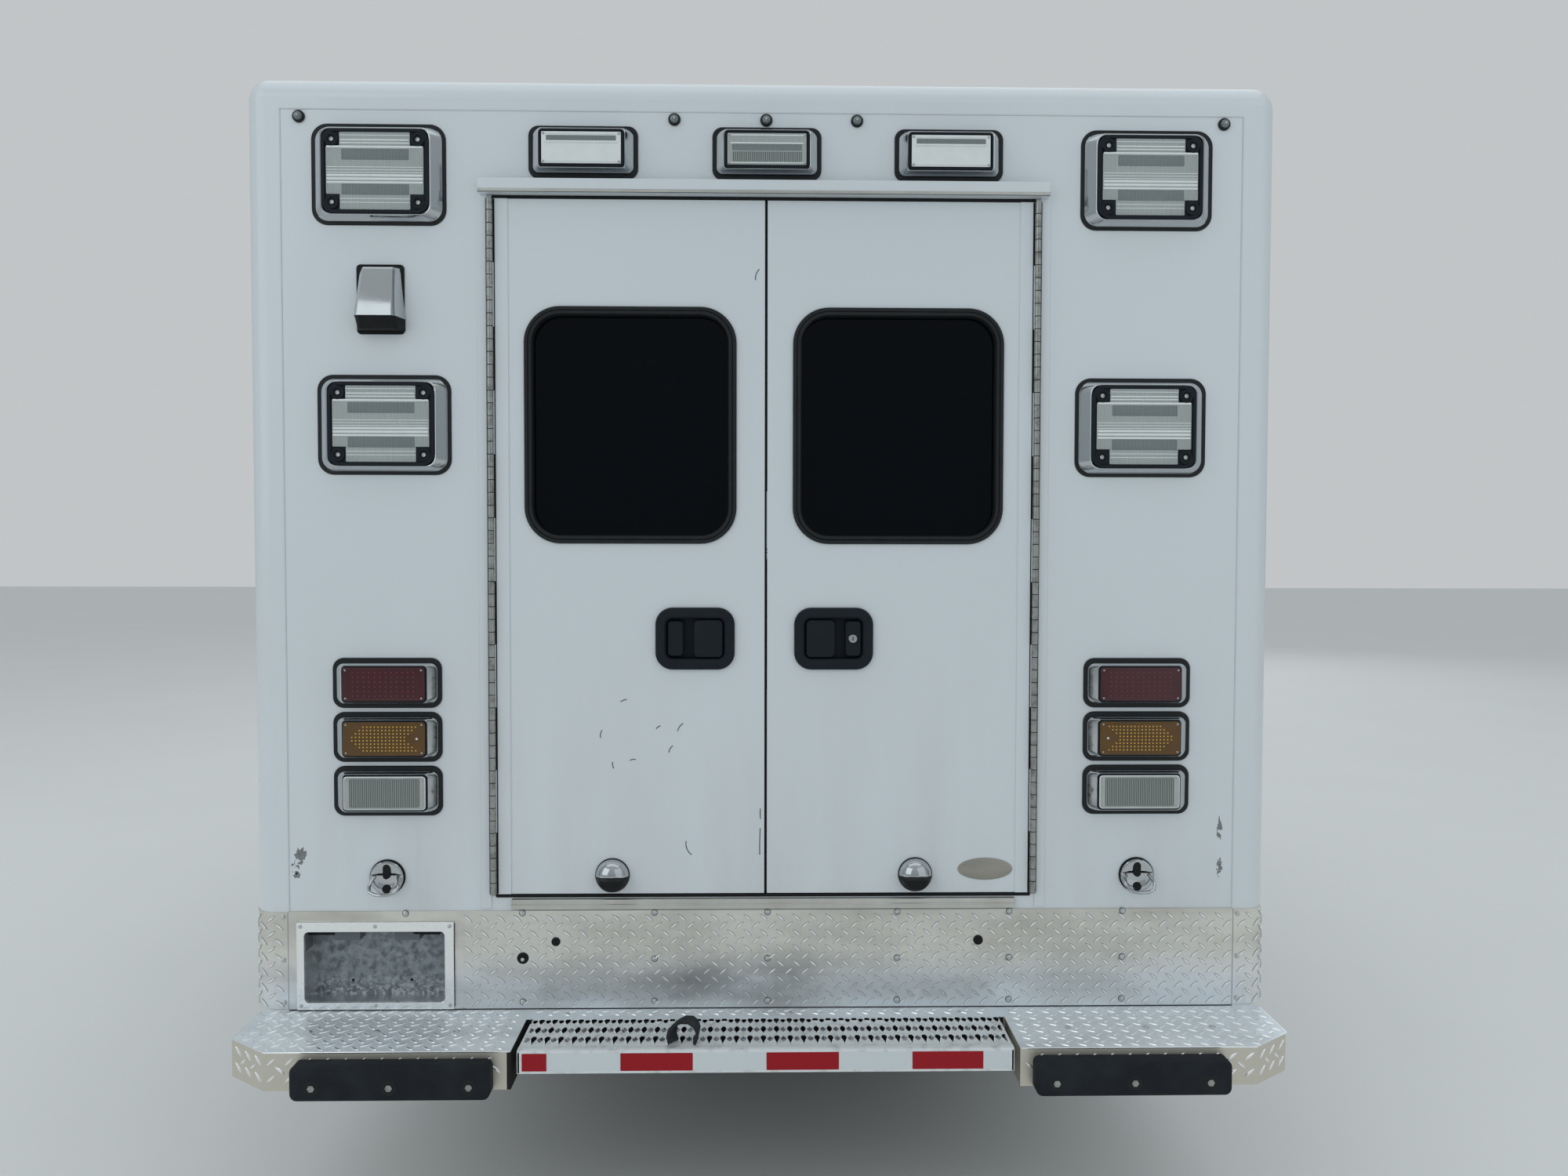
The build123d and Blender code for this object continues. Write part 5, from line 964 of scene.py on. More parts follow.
guards = Work()
for side in (-1, 1):
    spot, reach = corner_spot(side)
    stations = [reach * k / 40 for k in range(41)]
    section = [(GUARD_Z[0], 0), (GUARD_Z[0], GUARD_THICK), (GUARD_Z[1], GUARD_THICK), (GUARD_Z[1], 0)]
    guards.skin([[spot(u, v, d) for v, d in section] for u in stations], 0)
    lugs(guards, shifted(spot, 0, 0, GUARD_THICK), (4, reach - 4), GUARD_Z, None, 1)
    for u in (9, reach - 9):
        for z in (507, 603, 700):
            head = shifted(spot, u, z, GUARD_THICK)
            guards.turned(head, [(6, 0), (6, 1), (4.4, 1.6), (4, 2.6), (1, 3.5)], 3, 12)
guards.make("rear_corner_guards", "chassis", "tread_plate", [tread_plate, bright_aluminium_and_highlight, lug_flank_shade, zinc_screw])

# Licence plate box: an aluminium frame riveted over a galvanised pan that is set into the kick
# plate, with two small lamps under its upper edge and two bolt holes for a plate.
galvanised_sheet, tree, shader = surface("weathered_galvanised_sheet", "#9a9f9d", 0.55, 0.6)
# The zinc's spangle is about 10 mm across
spangle = add(tree, "TexVoronoi", {"Vector": here(tree), "Scale": 95.0})
grey = add(tree, "SeparateColor", {0: spangle.outputs["Color"]}).outputs[0]
worn = graded(tree, patches(tree, 16, 8.0), 0.44, 0.66, 0.0, 0.75)
mottle = tinted(tree, worn, tinted(tree, grey, "#8b9196", "#9ea4a8"), "#5d6164")
salt = both(tree, graded(tree, coordinate(tree, "Z"), 0.512, 0.56, 1.0, 0.0),
            graded(tree, patches(tree, 7, 6.0), 0.5, 0.56, 0.0, 0.9))
toned(shader, salt, mottle, "#c9cdcf")
roughened(shader, patches(tree, 18, 5.0), 0.3, 0.75, 0.35, 0.75)
licence = Work()
plate_edge = on_wall("rear", -867.5, 591.5)
opening = on_wall("rear", -869.5, 588.5)
loops = []
for spot, wide, tall, radius, steps in ((plate_edge, 349, 197, 4, ((0, 4), (0, 9.6), (1.2, 10.2))),
                                        (opening, 313, 161, 10, ((0, 10.2), (1.2, 9.6), (1.2, 0)))):
    loops += [[spot(u, v, d) for u, v in round_rect(wide - cut, tall - cut, radius)] for cut, d in steps]
licence.skin(loops, 0, (False, False))
back = on_wall("rear", -869.5, 588.5, -46.2)
licence.plate(back, [(314, 162, 4, 0), (314, 162, 4, 0.8)], 1)
for side in (-1, 1):
    shade = on_wall("rear", -877 + side * 117, 661, -46)
    licence.plate(shade, [(66, 15, 7, 0), (66, 15, 7, 30), (60, 10, 5, 34)], 2)
for x in (-936, -803):
    small = on_wall("rear", x, 540, -45.6)
    licence.turned(small, [(3.4, 0), (3.2, 1.2), (1, 1.4)], 2, 10)
x0, x1, z0, z1 = LICENCE_FRAME
for x in (x0 + 9, (x0 + x1) / 2, x1 - 9):
    for z in (z0 + 9, z1 - 9):
        head = on_wall("rear", x, z, 10.4)
        licence.turned(head, [(4.6, 0), (4.2, 1.6), (2, 2.4), (0.6, 2.2)], 3, 12)
licence.make("licence_frame", "chassis", "galvanised",
             [bright_aluminium_and_highlight, galvanised_sheet, door_rubber, zinc_screw])


# Rear bumper: tread plate folded over the top, face and cut-off corners of a steel box, screwed
# down through the deck. The fold is a rounded edge in near-white aluminium, a painted highlight.
DECK_Z = 490.0
DECK_FACE_Z = (411, 489)
FACE_Y = -225.0
FACE_END, DECK_END = 1028.0, 1122.0
CUT_DEEP = 70.0
DECK_SCREWS = (972, 828, 658)
DECK_SCREW_Y = -123.0
bumper = Work()


def on_deck(x, y):
    """Whether a lug there lies on an end deck, clear of the cut-off corner and the screws."""
    corner = FACE_Y + CUT_DEEP - (DECK_END - abs(x)) * CUT_DEEP / (DECK_END - FACE_END)
    inside = abs(x) < 1020 or y > corner + 8
    return inside and all(abs(abs(x) - a) > 14 or abs(y - DECK_SCREW_Y) > 14 for a in DECK_SCREWS)


for side in (-1, 1):
    inner = 524 if side < 0 else 534
    lugs(bumper, on_top(0, 0, DECK_Z), span(side, inner, 1118), (FACE_Y + 2, -6), on_deck)
    slant = Vector((side * (DECK_END - FACE_END), CUT_DEEP, 0)).normalized()
    out = Vector((side * CUT_DEEP, FACE_END - DECK_END, 0)).normalized()
    cut = lambda u, v, d: tuple(Vector((side * FACE_END, FACE_Y, v)) + slant * u + out * d)
    for spot, reach in ((on_wall("rear", 0, 0, -FACE_Y), span(side, inner, 1026)),
                        (cut, (0, 110)), (lambda u, v, d: (side * (DECK_END + d), u, v), (-150, -8))):
        lugs(bumper, spot, reach, DECK_FACE_Z)
    for x in DECK_SCREWS:
        head = on_top(side * x, DECK_SCREW_Y, DECK_Z)
        bumper.turned(head, [(7, 0), (7, 1), (5, 1.8), (4.4, 2.8), (1, 3.6)], 2, 12)
    # A near-white bar along the fold: a painted highlight.
    bumper.tube([(side * inner, -224, 488.8), (side * 1027, -224, 488.8), (side * 1121, -154, 488.8),
                 (side * 1121, -8, 488.8)], 1.7, 0, 6)
lugs(bumper, on_top(0, 0, DECK_Z), (-508, 518), (-60, -4), None, 0)
for x in (-437, 60, 437):
    bumper.turned(on_top(x, -32, DECK_Z), [(6, 0), (6, 1), (4, 2), (1, 2.8)], 2, 12)
# Crowns and flanks of the deck's lugs alike take the near-white aluminium, a painted highlight.
bumper.make("rear_bumper_lugs", "chassis", "tread_plate", [bright_aluminium_and_highlight, bright_aluminium_and_highlight, zinc_screw])

# Rubber dock pads, one on each end of the bumper's face: cast blocks held by three plated hex
# bolts sunk in their holes.
pad_rubber, tree, shader = surface("cast_dock_rubber", "#121821", 0.66, Specular_IOR_Level=0.3)
toned(shader, graded(tree, patches(tree, 60, 5.0), 0.4, 0.75, 0.0, 1.0), "#10161e", "#1f252b")
relief(tree, shader, patches(tree, 2.5, 4.0), 0.2)
PAD_X, PAD_Z = 760.0, 439.5
PAD_BOLTS = (-161, 0, 156)
pads = Work()
for side in (-1, 1):
    spot = on_wall("rear", side * PAD_X, PAD_Z, -FACE_Y)
    pads.plate(spot, [(404, 72, 14, 0), (404, 72, 14, 32), (400, 68, 14, 36.5), (392, 60, 12, 39)],
               0, (True, True), 8)
    for x in PAD_BOLTS:
        well = shifted(spot, side * x, -7.5, 38.6)
        # A near-black ring round each bolt's well: painted shade in the hollow.
        pads.turned(well, [(15.5, 0), (14.5, 0.8), (13.5, 0.7)], 1, 24)
        pads.turned(well, [(10, 0.7), (10, 1.0), (9, 1.2)], 0, 20)
        pads.turned(well, [(7.5, 1.2), (7.5, 1.9), (6.5, 2.2)], 2, 6)
pads = pads.make("bumper_pads_bolted", "chassis", "black_rubber", [pad_rubber, gap_and_well_shade, stainless])
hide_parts("bumper_pads")

# Flip-up rear step: a galvanised grip-strut plank in a channel frame. Its sheet is slit and
# pulled into three rows of diamonds with toothed rims; the front channel carries the tape. The
# diamonds' walls are near black and the dimples' bottoms darker grey, painted shade, and the rims
# near white, a painted highlight.
STEP_X = (-510.0, 520.0)
STEP_TOP = 488.4
DIAMOND = 28.5
ROWS = [
    # middle of a row of diamonds, the sheet's reach behind and before it, its underside
    (-72.0, 12.0, -24.0, 488.1), (-120.0, 24.0, -24.0, 472.0), (-168.0, 24.0, -32.0, 472.0),
]
# Half outlines, back to front, of a wide and a long diamond and of the dimple between two
WIDE_HOLE = [(0, 17), (1.9, 14.5), (3.6, 10.5), (4.9, 6), (5.4, 1), (4.7, -4), (3.2, -9), (1.4, -14),
             (0, -17)]
LONG_HOLE = [(0, 16), (2.4, 14.5), (4.4, 11), (5.4, 6), (5.2, 1), (3.6, -6), (1.9, -13), (0.8, -21),
             (0, -26)]
DIMPLE = [(0, 16), (1.8, 12), (4.2, 8), (5.8, 4), (5.4, 0), (4.0, -4), (2.6, -8), (1.2, -10), (0, -11)]
grip_strut, tree, shader = surface("galvanised_grip_strut", "#e6e8e8", 0.42, 0.5)
soot = graded(tree, patches(tree, 24, 5.0), 0.5, 0.75, 0.0, 0.5)
toned(shader, soot, "#eceff0", "#a3a19b")
roughened(shader, patches(tree, 16, 4.0), 0.3, 0.75, 0.34, 0.55)
# Near black for the diamonds' walls: painted shade in the holes.
hole_wall_shade = finish("diamond_walls_painted_shade", "#15171a", "#2b2926", 14, (0.6, 0.85), 0.3)


def round_trip(half, x, y, grow, z, tooth=0.0):
    """Half an outline from its back to its front point, mirrored, as a loop of points."""
    whole = half + [(-u, v) for u, v in reversed(half[1:-1])]
    return [(x + u * grow, y + v * grow, z + (tooth if k % 2 else 0)) for k, (u, v) in enumerate(whole)]


plank = Work()
for column in range(-1, 71):
    x = -486 + DIAMOND / 2 * column
    for row, (y, behind, before, under) in enumerate(ROWS):
        side = DIAMOND / 4
        tile = [(0, behind), (3.6, behind), (side, behind), (side, behind * 0.4), (side, 0),
                (side, before * 0.4), (side, before), (3.6, before), (0, before)]
        half = (LONG_HOLE if row == 2 else WIDE_HOLE) if column % 2 == 0 else DIMPLE
        half = [(u * 1.12, min(v, behind - 2)) for u, v in half]
        rim = [round_trip(tile, x, y, 1, STEP_TOP), round_trip(half, x, y, 1.34, STEP_TOP + 0.1)]
        base = round_trip(tile, x, y, 1, under)
        if column % 2:
            plank.skin(rim + [round_trip(half, x, y, 1, STEP_TOP - 0.2)], 0, (False, False))
            # The dimple's bottom takes the darker galvanised grey: painted shade.
            plank.skin([round_trip(half, x, y, 1, STEP_TOP - 0.2),
                        round_trip(half, x, y, 0.8, max(STEP_TOP - 5, under))], 3, (False, True))
            plank.skin([base], 0, (False, True))
            continue
        edge = round_trip(half, x, y, 1, STEP_TOP + 0.5, 0.9)
        plank.skin(rim[:2], 0, (False, False))
        # The toothed rim is near white, a painted highlight, and the hole's wall near black, painted shade.
        plank.skin([rim[1], edge], 1, (False, False))
        low = round_trip(half, x, y, 0.97, under)
        plank.skin([edge, low], 2, (False, False))
        plank.skin([low, base], 0, (False, False))
x0, x1 = STEP_X
for a, b in ((x0, x0 + 6), (x1 - 6, x1)):
    plank.box((a, b), (-222, -84), (441, STEP_TOP + 0.8), 0, 1.2)
plank.box((x0, x1), (-98, -84), (449, STEP_TOP - 1), 0, 1.5)
nose = [(-222, 441), (-222, 485), (-220.5, 488), (-217, 489.6), (-203, 489.6), (-199.5, 488), (-199, 478),
        (-203, 478), (-203, 485), (-218, 485), (-218, 445), (-200, 445), (-200, 441)]
plank.skin([[(x, y, z) for y, z in nose] for x in (x0, x1)], 0)
for n in (1, 2):
    x = -510 + n * 1030 / 3
    plank.box((x - 85, x + 85), (-86, -72), (477, 484), 0, 1)
    barrel = lambda u, v, d, x=x: (x + d, -72 + u, 482 + v)
    plank.turned(barrel, [(5, -85), (6, -84), (6, 84), (5, 85)], 0, 14, (True, True))
step_plank = plank.make("rear_step_plank", "step_frame", "galvanised",
                        [grip_strut, bright_aluminium_and_highlight, hole_wall_shade, galvanised_sheet])
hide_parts("rear_step")

# Red and white reflective tape on the step's front channel, in the usual 152 mm lengths. The
# film has sealed prism cells about 4 mm across.
TAPE_Z, TAPE_WIDE, TAPE_GAP = 464.5, 37, 0.8
TAPES = []
for name, colour in (("red_retroreflective_film", "#a30a1c"), ("white_retroreflective_film", "#dce3e5")):
    film, tree, shader = surface(name, colour, 0.35, Specular_IOR_Level=0.3)
    cells = add(tree, "TexVoronoi", {"Vector": here(tree), "Scale": 250.0},
                feature="DISTANCE_TO_EDGE").outputs["Distance"]
    relief(tree, shader, graded(tree, cells, 0.0, 0.12, 0.0, 1.0), 0.06)
    TAPES.append(film)
TAPE_ENDS = [-500.4, -448.7, -297.3, -147.1, 4.4, 155.3, 307.2, 455.7, 511.0]
tape = Work()
for n, (a, b) in enumerate(zip(TAPE_ENDS, TAPE_ENDS[1:])):
    spot, long = on_wall("rear", (a + b) / 2, TAPE_Z, 222), b - a - TAPE_GAP
    tape.plate(spot, [(long, TAPE_WIDE, 1.2, 0), (long, TAPE_WIDE, 1.2, 0.45)], n % 2, (False, True), 2)
tape.make("rear_step_tape", "step_frame", "lamp_clear", TAPES)

# The step's pull strap: black nylon webbing 28 mm wide, twisted into an arch and sewn down at
# both ends. Its woven ribs are about 2 mm apart.
webbing, tree, shader = surface("black_nylon_webbing", "#2c2e30", 0.85, Specular_IOR_Level=0.3)
ribs = add(tree, "TexWave", {"Vector": here(tree), "Scale": 80.0}, bands_direction="DIAGONAL")
relief(tree, shader, ribs.outputs["Fac"], 0.5)
toned(shader, patches(tree, 12, 4.0), "#0f1113", "#3e4245")
strap = Work()
arch = [(-191, -179, 489), (-195, -177, 502), (-193, -175, 515), (-184, -173, 526), (-170, -172, 532),
        (-155, -171, 531), (-144, -172, 523), (-139, -174, 511), (-141, -178, 499), (-147, -182, 489)]
strap.strip(arch, 28, 6, [(0.75 - 0.09 * n, 0.9, 0.1) for n in range(10)])
strap = strap.make("rear_step_strap", "step_frame", "black_rubber", [webbing])
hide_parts("step_strap")

# The CAD bumper under the lugs: tread plate pale and cool on top, a painted reflection of the sky,
# warm beige on the faces, a painted reflection, and near black on its beam behind the plank, painted
# shade under the step.
# The top's pale cool tone is a painted reflection of the sky.
bumper_plate, tree, shader = surface("bumper_tread_plate", "#eef4f9", 0.5, 0.6)
toned(shader, graded(tree, patches(tree, 90, 5.0, (0.35, 1, 1)), 0.42, 0.72, 0.0, 0.6), "#eef4f9", "#c9cdd0")
roughened(shader, patches(tree, 28, 5.0), 0.3, 0.75, 0.42, 0.6)
relief(tree, shader, patches(tree, 2.0, 3.0), 0.03)
# The faces below the deck are warm beige: a painted reflection.
zoned(bumper_plate, lambda tree: within(tree, "Z", 0, 0.4885), "#d8d2c5", 0.45, 0.9)
# The beam behind the plank is near black: painted shade under the step.
zoned(bumper_plate, lambda tree: both(tree, within(tree, "X", 0, 0.53), within(tree, "Z", 0, 0.4885)),
      "#16130f", 0.8)
dress(bumper_plate, "rear_bumper")


# The chassis: pressed rails and cross members in black enamel, under which the engine, the
# axles, the exhaust and the fuel tank hang on brackets.
dress(finish("black_chassis_enamel", "#17181a", "#3a3733", 60, (0.4, 0.75), grain=(3, 0.1)),
      "frame_rail_left", "frame_rail_right", "frame_crossmembers", "front_axle", "rear_axle")
dress(finish("sand_cast_iron", "#38332e", "#5b4231", 45, (0.6, 0.85), grain=(2.5, 0.2)),
      "knuckle_left", "knuckle_right")
dress(finish("engine_castings", "#4c4d4f", "#2d2c2b", 80, (0.5, 0.8), 0.4, (3, 0.2)), "powertrain")
dress(finish("aluminised_exhaust_steel", "#938f89", "#6d5644", 90, (0.35, 0.65), 0.9, (2, 0.05)), "exhaust")
dress(finish("painted_tank_steel", "#202224", "#3c3936", 120, (0.4, 0.7), grain=(3, 0.08)), "fuel_tank")


# Tyres: moulded rubber with four grooves round the tread, slots across its shoulders and
# rings on the side walls. Each is drawn as rings of stations round its axle.
TREAD_STATIONS = 160
AXLE_Z = 372.0
FRONT_AXLE_Y = 5233.0
REAR_AXLE_Y = 1728.0
SHOULDER = [(103, 364), (99, 369), (92, 371.4), (72, 371.9), (70, 363), (62, 363), (60, 371.9), (28, 371.9),
            (26, 363), (18, 363), (16, 371.9)]
SIDE_WALL = [(95, 206.5), (96, 216), (99, 224), (103.6, 240), (105.6, 243), (105.2, 248), (108.6, 262),
             (110.8, 265), (110.4, 270), (111.4, 290), (111.4, 318), (111.9, 320), (111.6, 324), (109.5, 338),
             (107, 352), (103, 364)]
tread_rubber = finish("tread_rubber", "#232425", "#4a4741", 35, (0.7, 0.9), grain=(1.5, 0.1))
wall_rubber = finish("side_wall_rubber", "#1a1b1c", "#2f2e2b", 70, (0.55, 0.75), grain=(2, 0.06))


def tyre(work, x, y):
    tread = SHOULDER + [(-a, r) for a, r in reversed(SHOULDER)]
    wall = [(-a, r) for a, r in reversed(SIDE_WALL)] + SIDE_WALL
    for profile, mark in ((tread, 0), (wall, 1)):
        loops = []
        for n in range(TREAD_STATIONS + 1):
            turn = 2 * pi * n / TREAD_STATIONS
            ring = []
            for a, r in profile:
                slot = 7 if n % 4 == 0 and abs(a) > 71 and 360 < r < 373 and mark == 0 and abs(a) < 102 else 0
                ring.append((x + a, y + (r - slot) * cos(turn), AXLE_Z + (r - slot) * sin(turn)))
            loops.append(ring)
        work.skin(loops, mark, (False, False), False)


# Wheels: bright pressed steel discs held by eight nuts under chromed caps, with a rubber valve
# stem each.
wheel_steel = finish("bright_wheel_steel", "#b7babb", "#8d8a84", 60, (0.24, 0.45), 0.95, (2, 0.03))
dress(wheel_steel, "front_left_rim", "front_right_rim", "rear_left_rims", "rear_right_rims")
NUT_CIRCLE = 82.5
WHEELS = [
    # place, axle, track from the middle, tyres beside it, nut faces, valve, and the word's plural
    ("front", FRONT_AXLE_Y, 881, (0,), 959, 947, ""),
    ("rear", REAR_AXLE_Y, 930, (-127.5, 127.5), 944, 990, "s"),
]
for side, word in SIDES:
    for place, y, track, offsets, nut_x, stem_x, plural in WHEELS:
        body = f"{place}_{word}_wheel{plural}"
        node = f"{place}_{word}_tyre{plural}"
        rubber = Work()
        for offset in offsets:
            tyre(rubber, side * (track + offset), y)
        rubber = rubber.make(f"{node}_treaded", body, "tyre", [tread_rubber, wall_rubber], 25)
        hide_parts(node)
        caps = Work()
        hub = lambda u, v, d: (side * (nut_x + d), y + u, AXLE_Z + v)
        for n in range(8):
            turn = (n + 0.5) * pi / 4
            cap = shifted(hub, NUT_CIRCLE * cos(turn), NUT_CIRCLE * sin(turn))
            caps.turned(cap, [(18, 0), (18, 2), (16.4, 4), (16.4, 21), (14, 26), (8, 31), (2, 32)], 0, 6)
        stem = [(side * (stem_x + out), y, AXLE_Z + up) for out, up in ((0, 176), (22, 168), (34, 160))]
        caps.tube(stem, 4.2, 1, 10)
        caps.make(f"{place}_{word}_nut_caps", body, "chrome", [chrome, door_rubber])


# Moulded rubber rings round the rear wheel openings, mud flaps behind them, and running
# boards under the cab doors with tread plate screwed on top.
dress(finish("moulded_trim_rubber", "#191a1b", "#31312f", 80, (0.5, 0.75), grain=(2, 0.08)), "side_trim")
boards = Work()
for side in (-1, 1):
    board = on_top(side * 955, 4325, 424)
    boards.plate(board, [(206, 886, 38, 0), (206, 886, 38, 3), (205, 885, 37.5, 3.4)], 0)
    lugs(boards, on_top(0, 0, 427.4), span(side, 853, 1057), (3884, 4766),
         lambda x, y: not (abs(x) > 1026 or abs(x) < 884) or 3915 < y < 4735, 1)
boards.make("running_board_treads", "chassis", "tread_plate", [tread_plate, bright_aluminium_and_highlight, lug_flank_shade])


# Entry door and lockers: each hangs on a long hinge at its front edge, shuts on a rubber
# bulb and has the same paddle handle as the rear doors, with a lock.
SIDE_DOORS = [
    # body, wall, y limits, z limits
    ("entry_door", "right", (2380.0, 3130.0), (505.0, 2330.0)),
    ("left_front_locker", "left", (2860.0, 3600.0), (520.0, 2205.0)),
    ("left_rear_locker", "left", (330.0, 1130.0), (520.0, 1640.0)),
    ("right_rear_locker", "right", (330.0, 1130.0), (520.0, 1640.0)),
]
# Their handles are this much larger than the rear ones, to hide the CAD's plain ones
OVER = 1.2
SIDE_HINGE_X = 1152.5
gap_seal = Work()
for name, wall, y, z in SIDE_DOORS:
    side = 1 if wall == "right" else -1
    body = f"{name}_leaf"
    handle = Work()
    at = on_wall(wall, y[0] + 150, min((z[0] + z[1]) / 2, 1324.0), OVER)
    paddle_handle(handle, at, -side, True, OVER)
    handle.make(f"{name}_handle", body, "black_plastic", [moulded_nylon, chrome])
    knuckles(f"{name}_hinge", body, side * SIDE_HINGE_X, y[1] - 2.75, z[0] + 5.5, z[1] - 5.5)
    deep = span(side, HALF - 34, HALF - 18)
    for a, b in ((y[0] + 0.3, y[0] + 3), (y[1] - 3, y[1] - 0.3)):
        gap_seal.box(deep, (a, b), (z[0] + 0.3, z[1] - 0.3), 0, 0.5)
    for a, b in ((z[0] + 0.3, z[0] + 3), (z[1] - 3, z[1] - 0.3)):
        gap_seal.box(deep, (y[0] + 3, y[1] - 3), (a, b), 0, 0.5)
gap_seal.make("side_door_seals", "chassis", "black_rubber", [door_rubber])
dress(privacy_glass, "entry_door_glass")
entry_rubber = Work()
channel(entry_rubber, on_wall("right", 2755, 1760), 430, 640, 60)
entry_rubber.make("entry_window_rubber", "entry_door_leaf", "black_rubber", [window_rubber])
side_pane = Work()
pane = on_wall("right", 1960, 1720)
channel(side_pane, pane, 620, 420, 60)
side_pane.plate(pane, [(618, 418, 59, -23), (618, 418, 59, -19)], 1, (True, True), 12)
side_pane = side_pane.make("side_window_glazed", "chassis", "dark_glass", [window_rubber, privacy_glass])
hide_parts("side_window")


# The cab: steel panels in white enamel outside, grey moulded trim inside. Its windshield and
# door windows are clear laminated glass in black rubber.
def outline(points, radii, grow=0.0, steps=6):
    """A convex polygon moved outward by grow, with its corners rounded."""
    count = len(points)
    corners = []
    for n in range(count):
        a, b, c = (Vector(points[(n + k) % count]) for k in (-1, 0, 1))
        one, two = (b - a).normalized(), (c - b).normalized()
        way = 1 if one.cross(two) > 0 else -1
        out = [Vector((t.y, -t.x)) * way for t in (one, two)]
        corners.append(b + (out[0] + out[1]) * grow / (1 + out[0].dot(out[1])))
    path = []
    for n, b in enumerate(corners):
        back = (corners[n - 1] - b).normalized()
        ahead = (corners[(n + 1) % count] - b).normalized()
        half = back.angle(ahead) / 2
        radius = max(radii[n] + grow, 0.5)
        centre = b + (back + ahead).normalized() * radius / sin(half)
        start, end = b + back * radius / tan(half) - centre, b + ahead * radius / tan(half) - centre
        path += [tuple(centre + start.slerp(end, k / steps)) for k in range(steps + 1)]
    return path


def band(work, spot, points, radii, levels, mark=0, caps=(False, False)):
    """A moulding that follows an outline: distances outward from it and up from its surface."""
    work.skin([[spot(u, v, d) for u, v in outline(points, radii, g)] for g, d in levels], mark, caps)


def cab_side(z):
    """How far the cab's side stands from the middle at a height."""
    if z < 880:
        return 1007 - (880 - z) * 22 / 410
    return 1007 - (z - 880) * 8 / 240 if z < 1120 else 999 - (z - 1120) * 147 / 977


CAB_MIDDLE = (0, 4350, 1350)
cab_enamel = enamel("white_enamel_on_steel", "#e3e8ec", 0.35)
door_enamel = enamel("white_enamel_on_cab_doors", "#e3e8ec", 0.35)
for paint in (cab_enamel, door_enamel):
    zoned(paint, lambda tree: facing(tree, CAB_MIDDLE), "#6d7072", 0.62)
# The mirrors are part of the doors' nodes: moulded black plastic
zoned(door_enamel, lambda tree: both(tree, within(tree, "X", 1.012, 2), within(tree, "Z", 1.2, 2)),
      "#141618", 0.5)
dress(cab_enamel, "cab_body", "hood")
dress(door_enamel, "cab_door_left", "cab_door_right")
cab_glass, tree, shader = surface("clear_laminated_glass", "#dfe9e6", 0.0, IOR=1.52,
                                  Transmission_Weight=1.0)
toned(shader, patches(tree, 400), "#dce8e4", "#e6eeec")
roughened(shader, patches(tree, 90, 4.0), 0.5, 0.8, 0.0, 0.03)
dress(cab_glass, "windshield", "cab_door_left_glass", "cab_door_right_glass")

SHIELD = [(-765, -320.7), (765, -320.7), (850, 330.7), (-850, 330.7)]
SHIELD_RADII = [90, 90, 70, 70]
DOOR_WINDOW = [(3985, 1245), (4700, 1245), (4700, 1370), (4350, 1890), (3985, 1905)]
DOOR_RADII = [40, 40, 50, 60, 40]
DOOR_EDGE = [(3890, 560), (4790, 560), (4790, 1390), (4380, 1985), (3890, 1985)]
EDGE_RADII = [70, 50, 60, 90, 60]
RUBBER_LIP = [(11, 0.2), (11, 2.5), (5, 4.5), (-3, 3.2), (-8, -3), (-8, -12), (-11, -13)]
shield = lambda u, v, d: (u, 4810 + 0.6739 * v + 0.7388 * d, 1716 - 0.7388 * v + 0.6739 * d)

# The windshield's rubber, and two wipers of black steel and rubber parked at its foot.
shield_rubber = Work()
band(shield_rubber, shield, SHIELD, SHIELD_RADII, RUBBER_LIP)
shield_rubber.make("windshield_rubber", "chassis", "black_rubber", [window_rubber])
wipers = Work()
for x, reach in ((-330, -310), (380, -300)):
    foot = shield(x, 352, 4)
    tip = shield(x + reach, 300, 9)
    wipers.tube([foot, shield(x, 350, 20), shield(x + reach * 0.4, 320, 22), tip], 5, 0, 8)
    wipers.turned(shifted(shield, x, 352), [(16, 0), (16, 12), (12, 18), (4, 21)], 0, 14)
    blade = [shield(x + reach + k * 60, 296 + abs(k) * 1.5, 2.5) for k in range(-4, 5)]
    wipers.strip(blade, 9, 5, (0, 0.7388, 0.6739), 0)
wipers.make("windshield_wipers", "chassis", "black_plastic", [moulded_nylon])

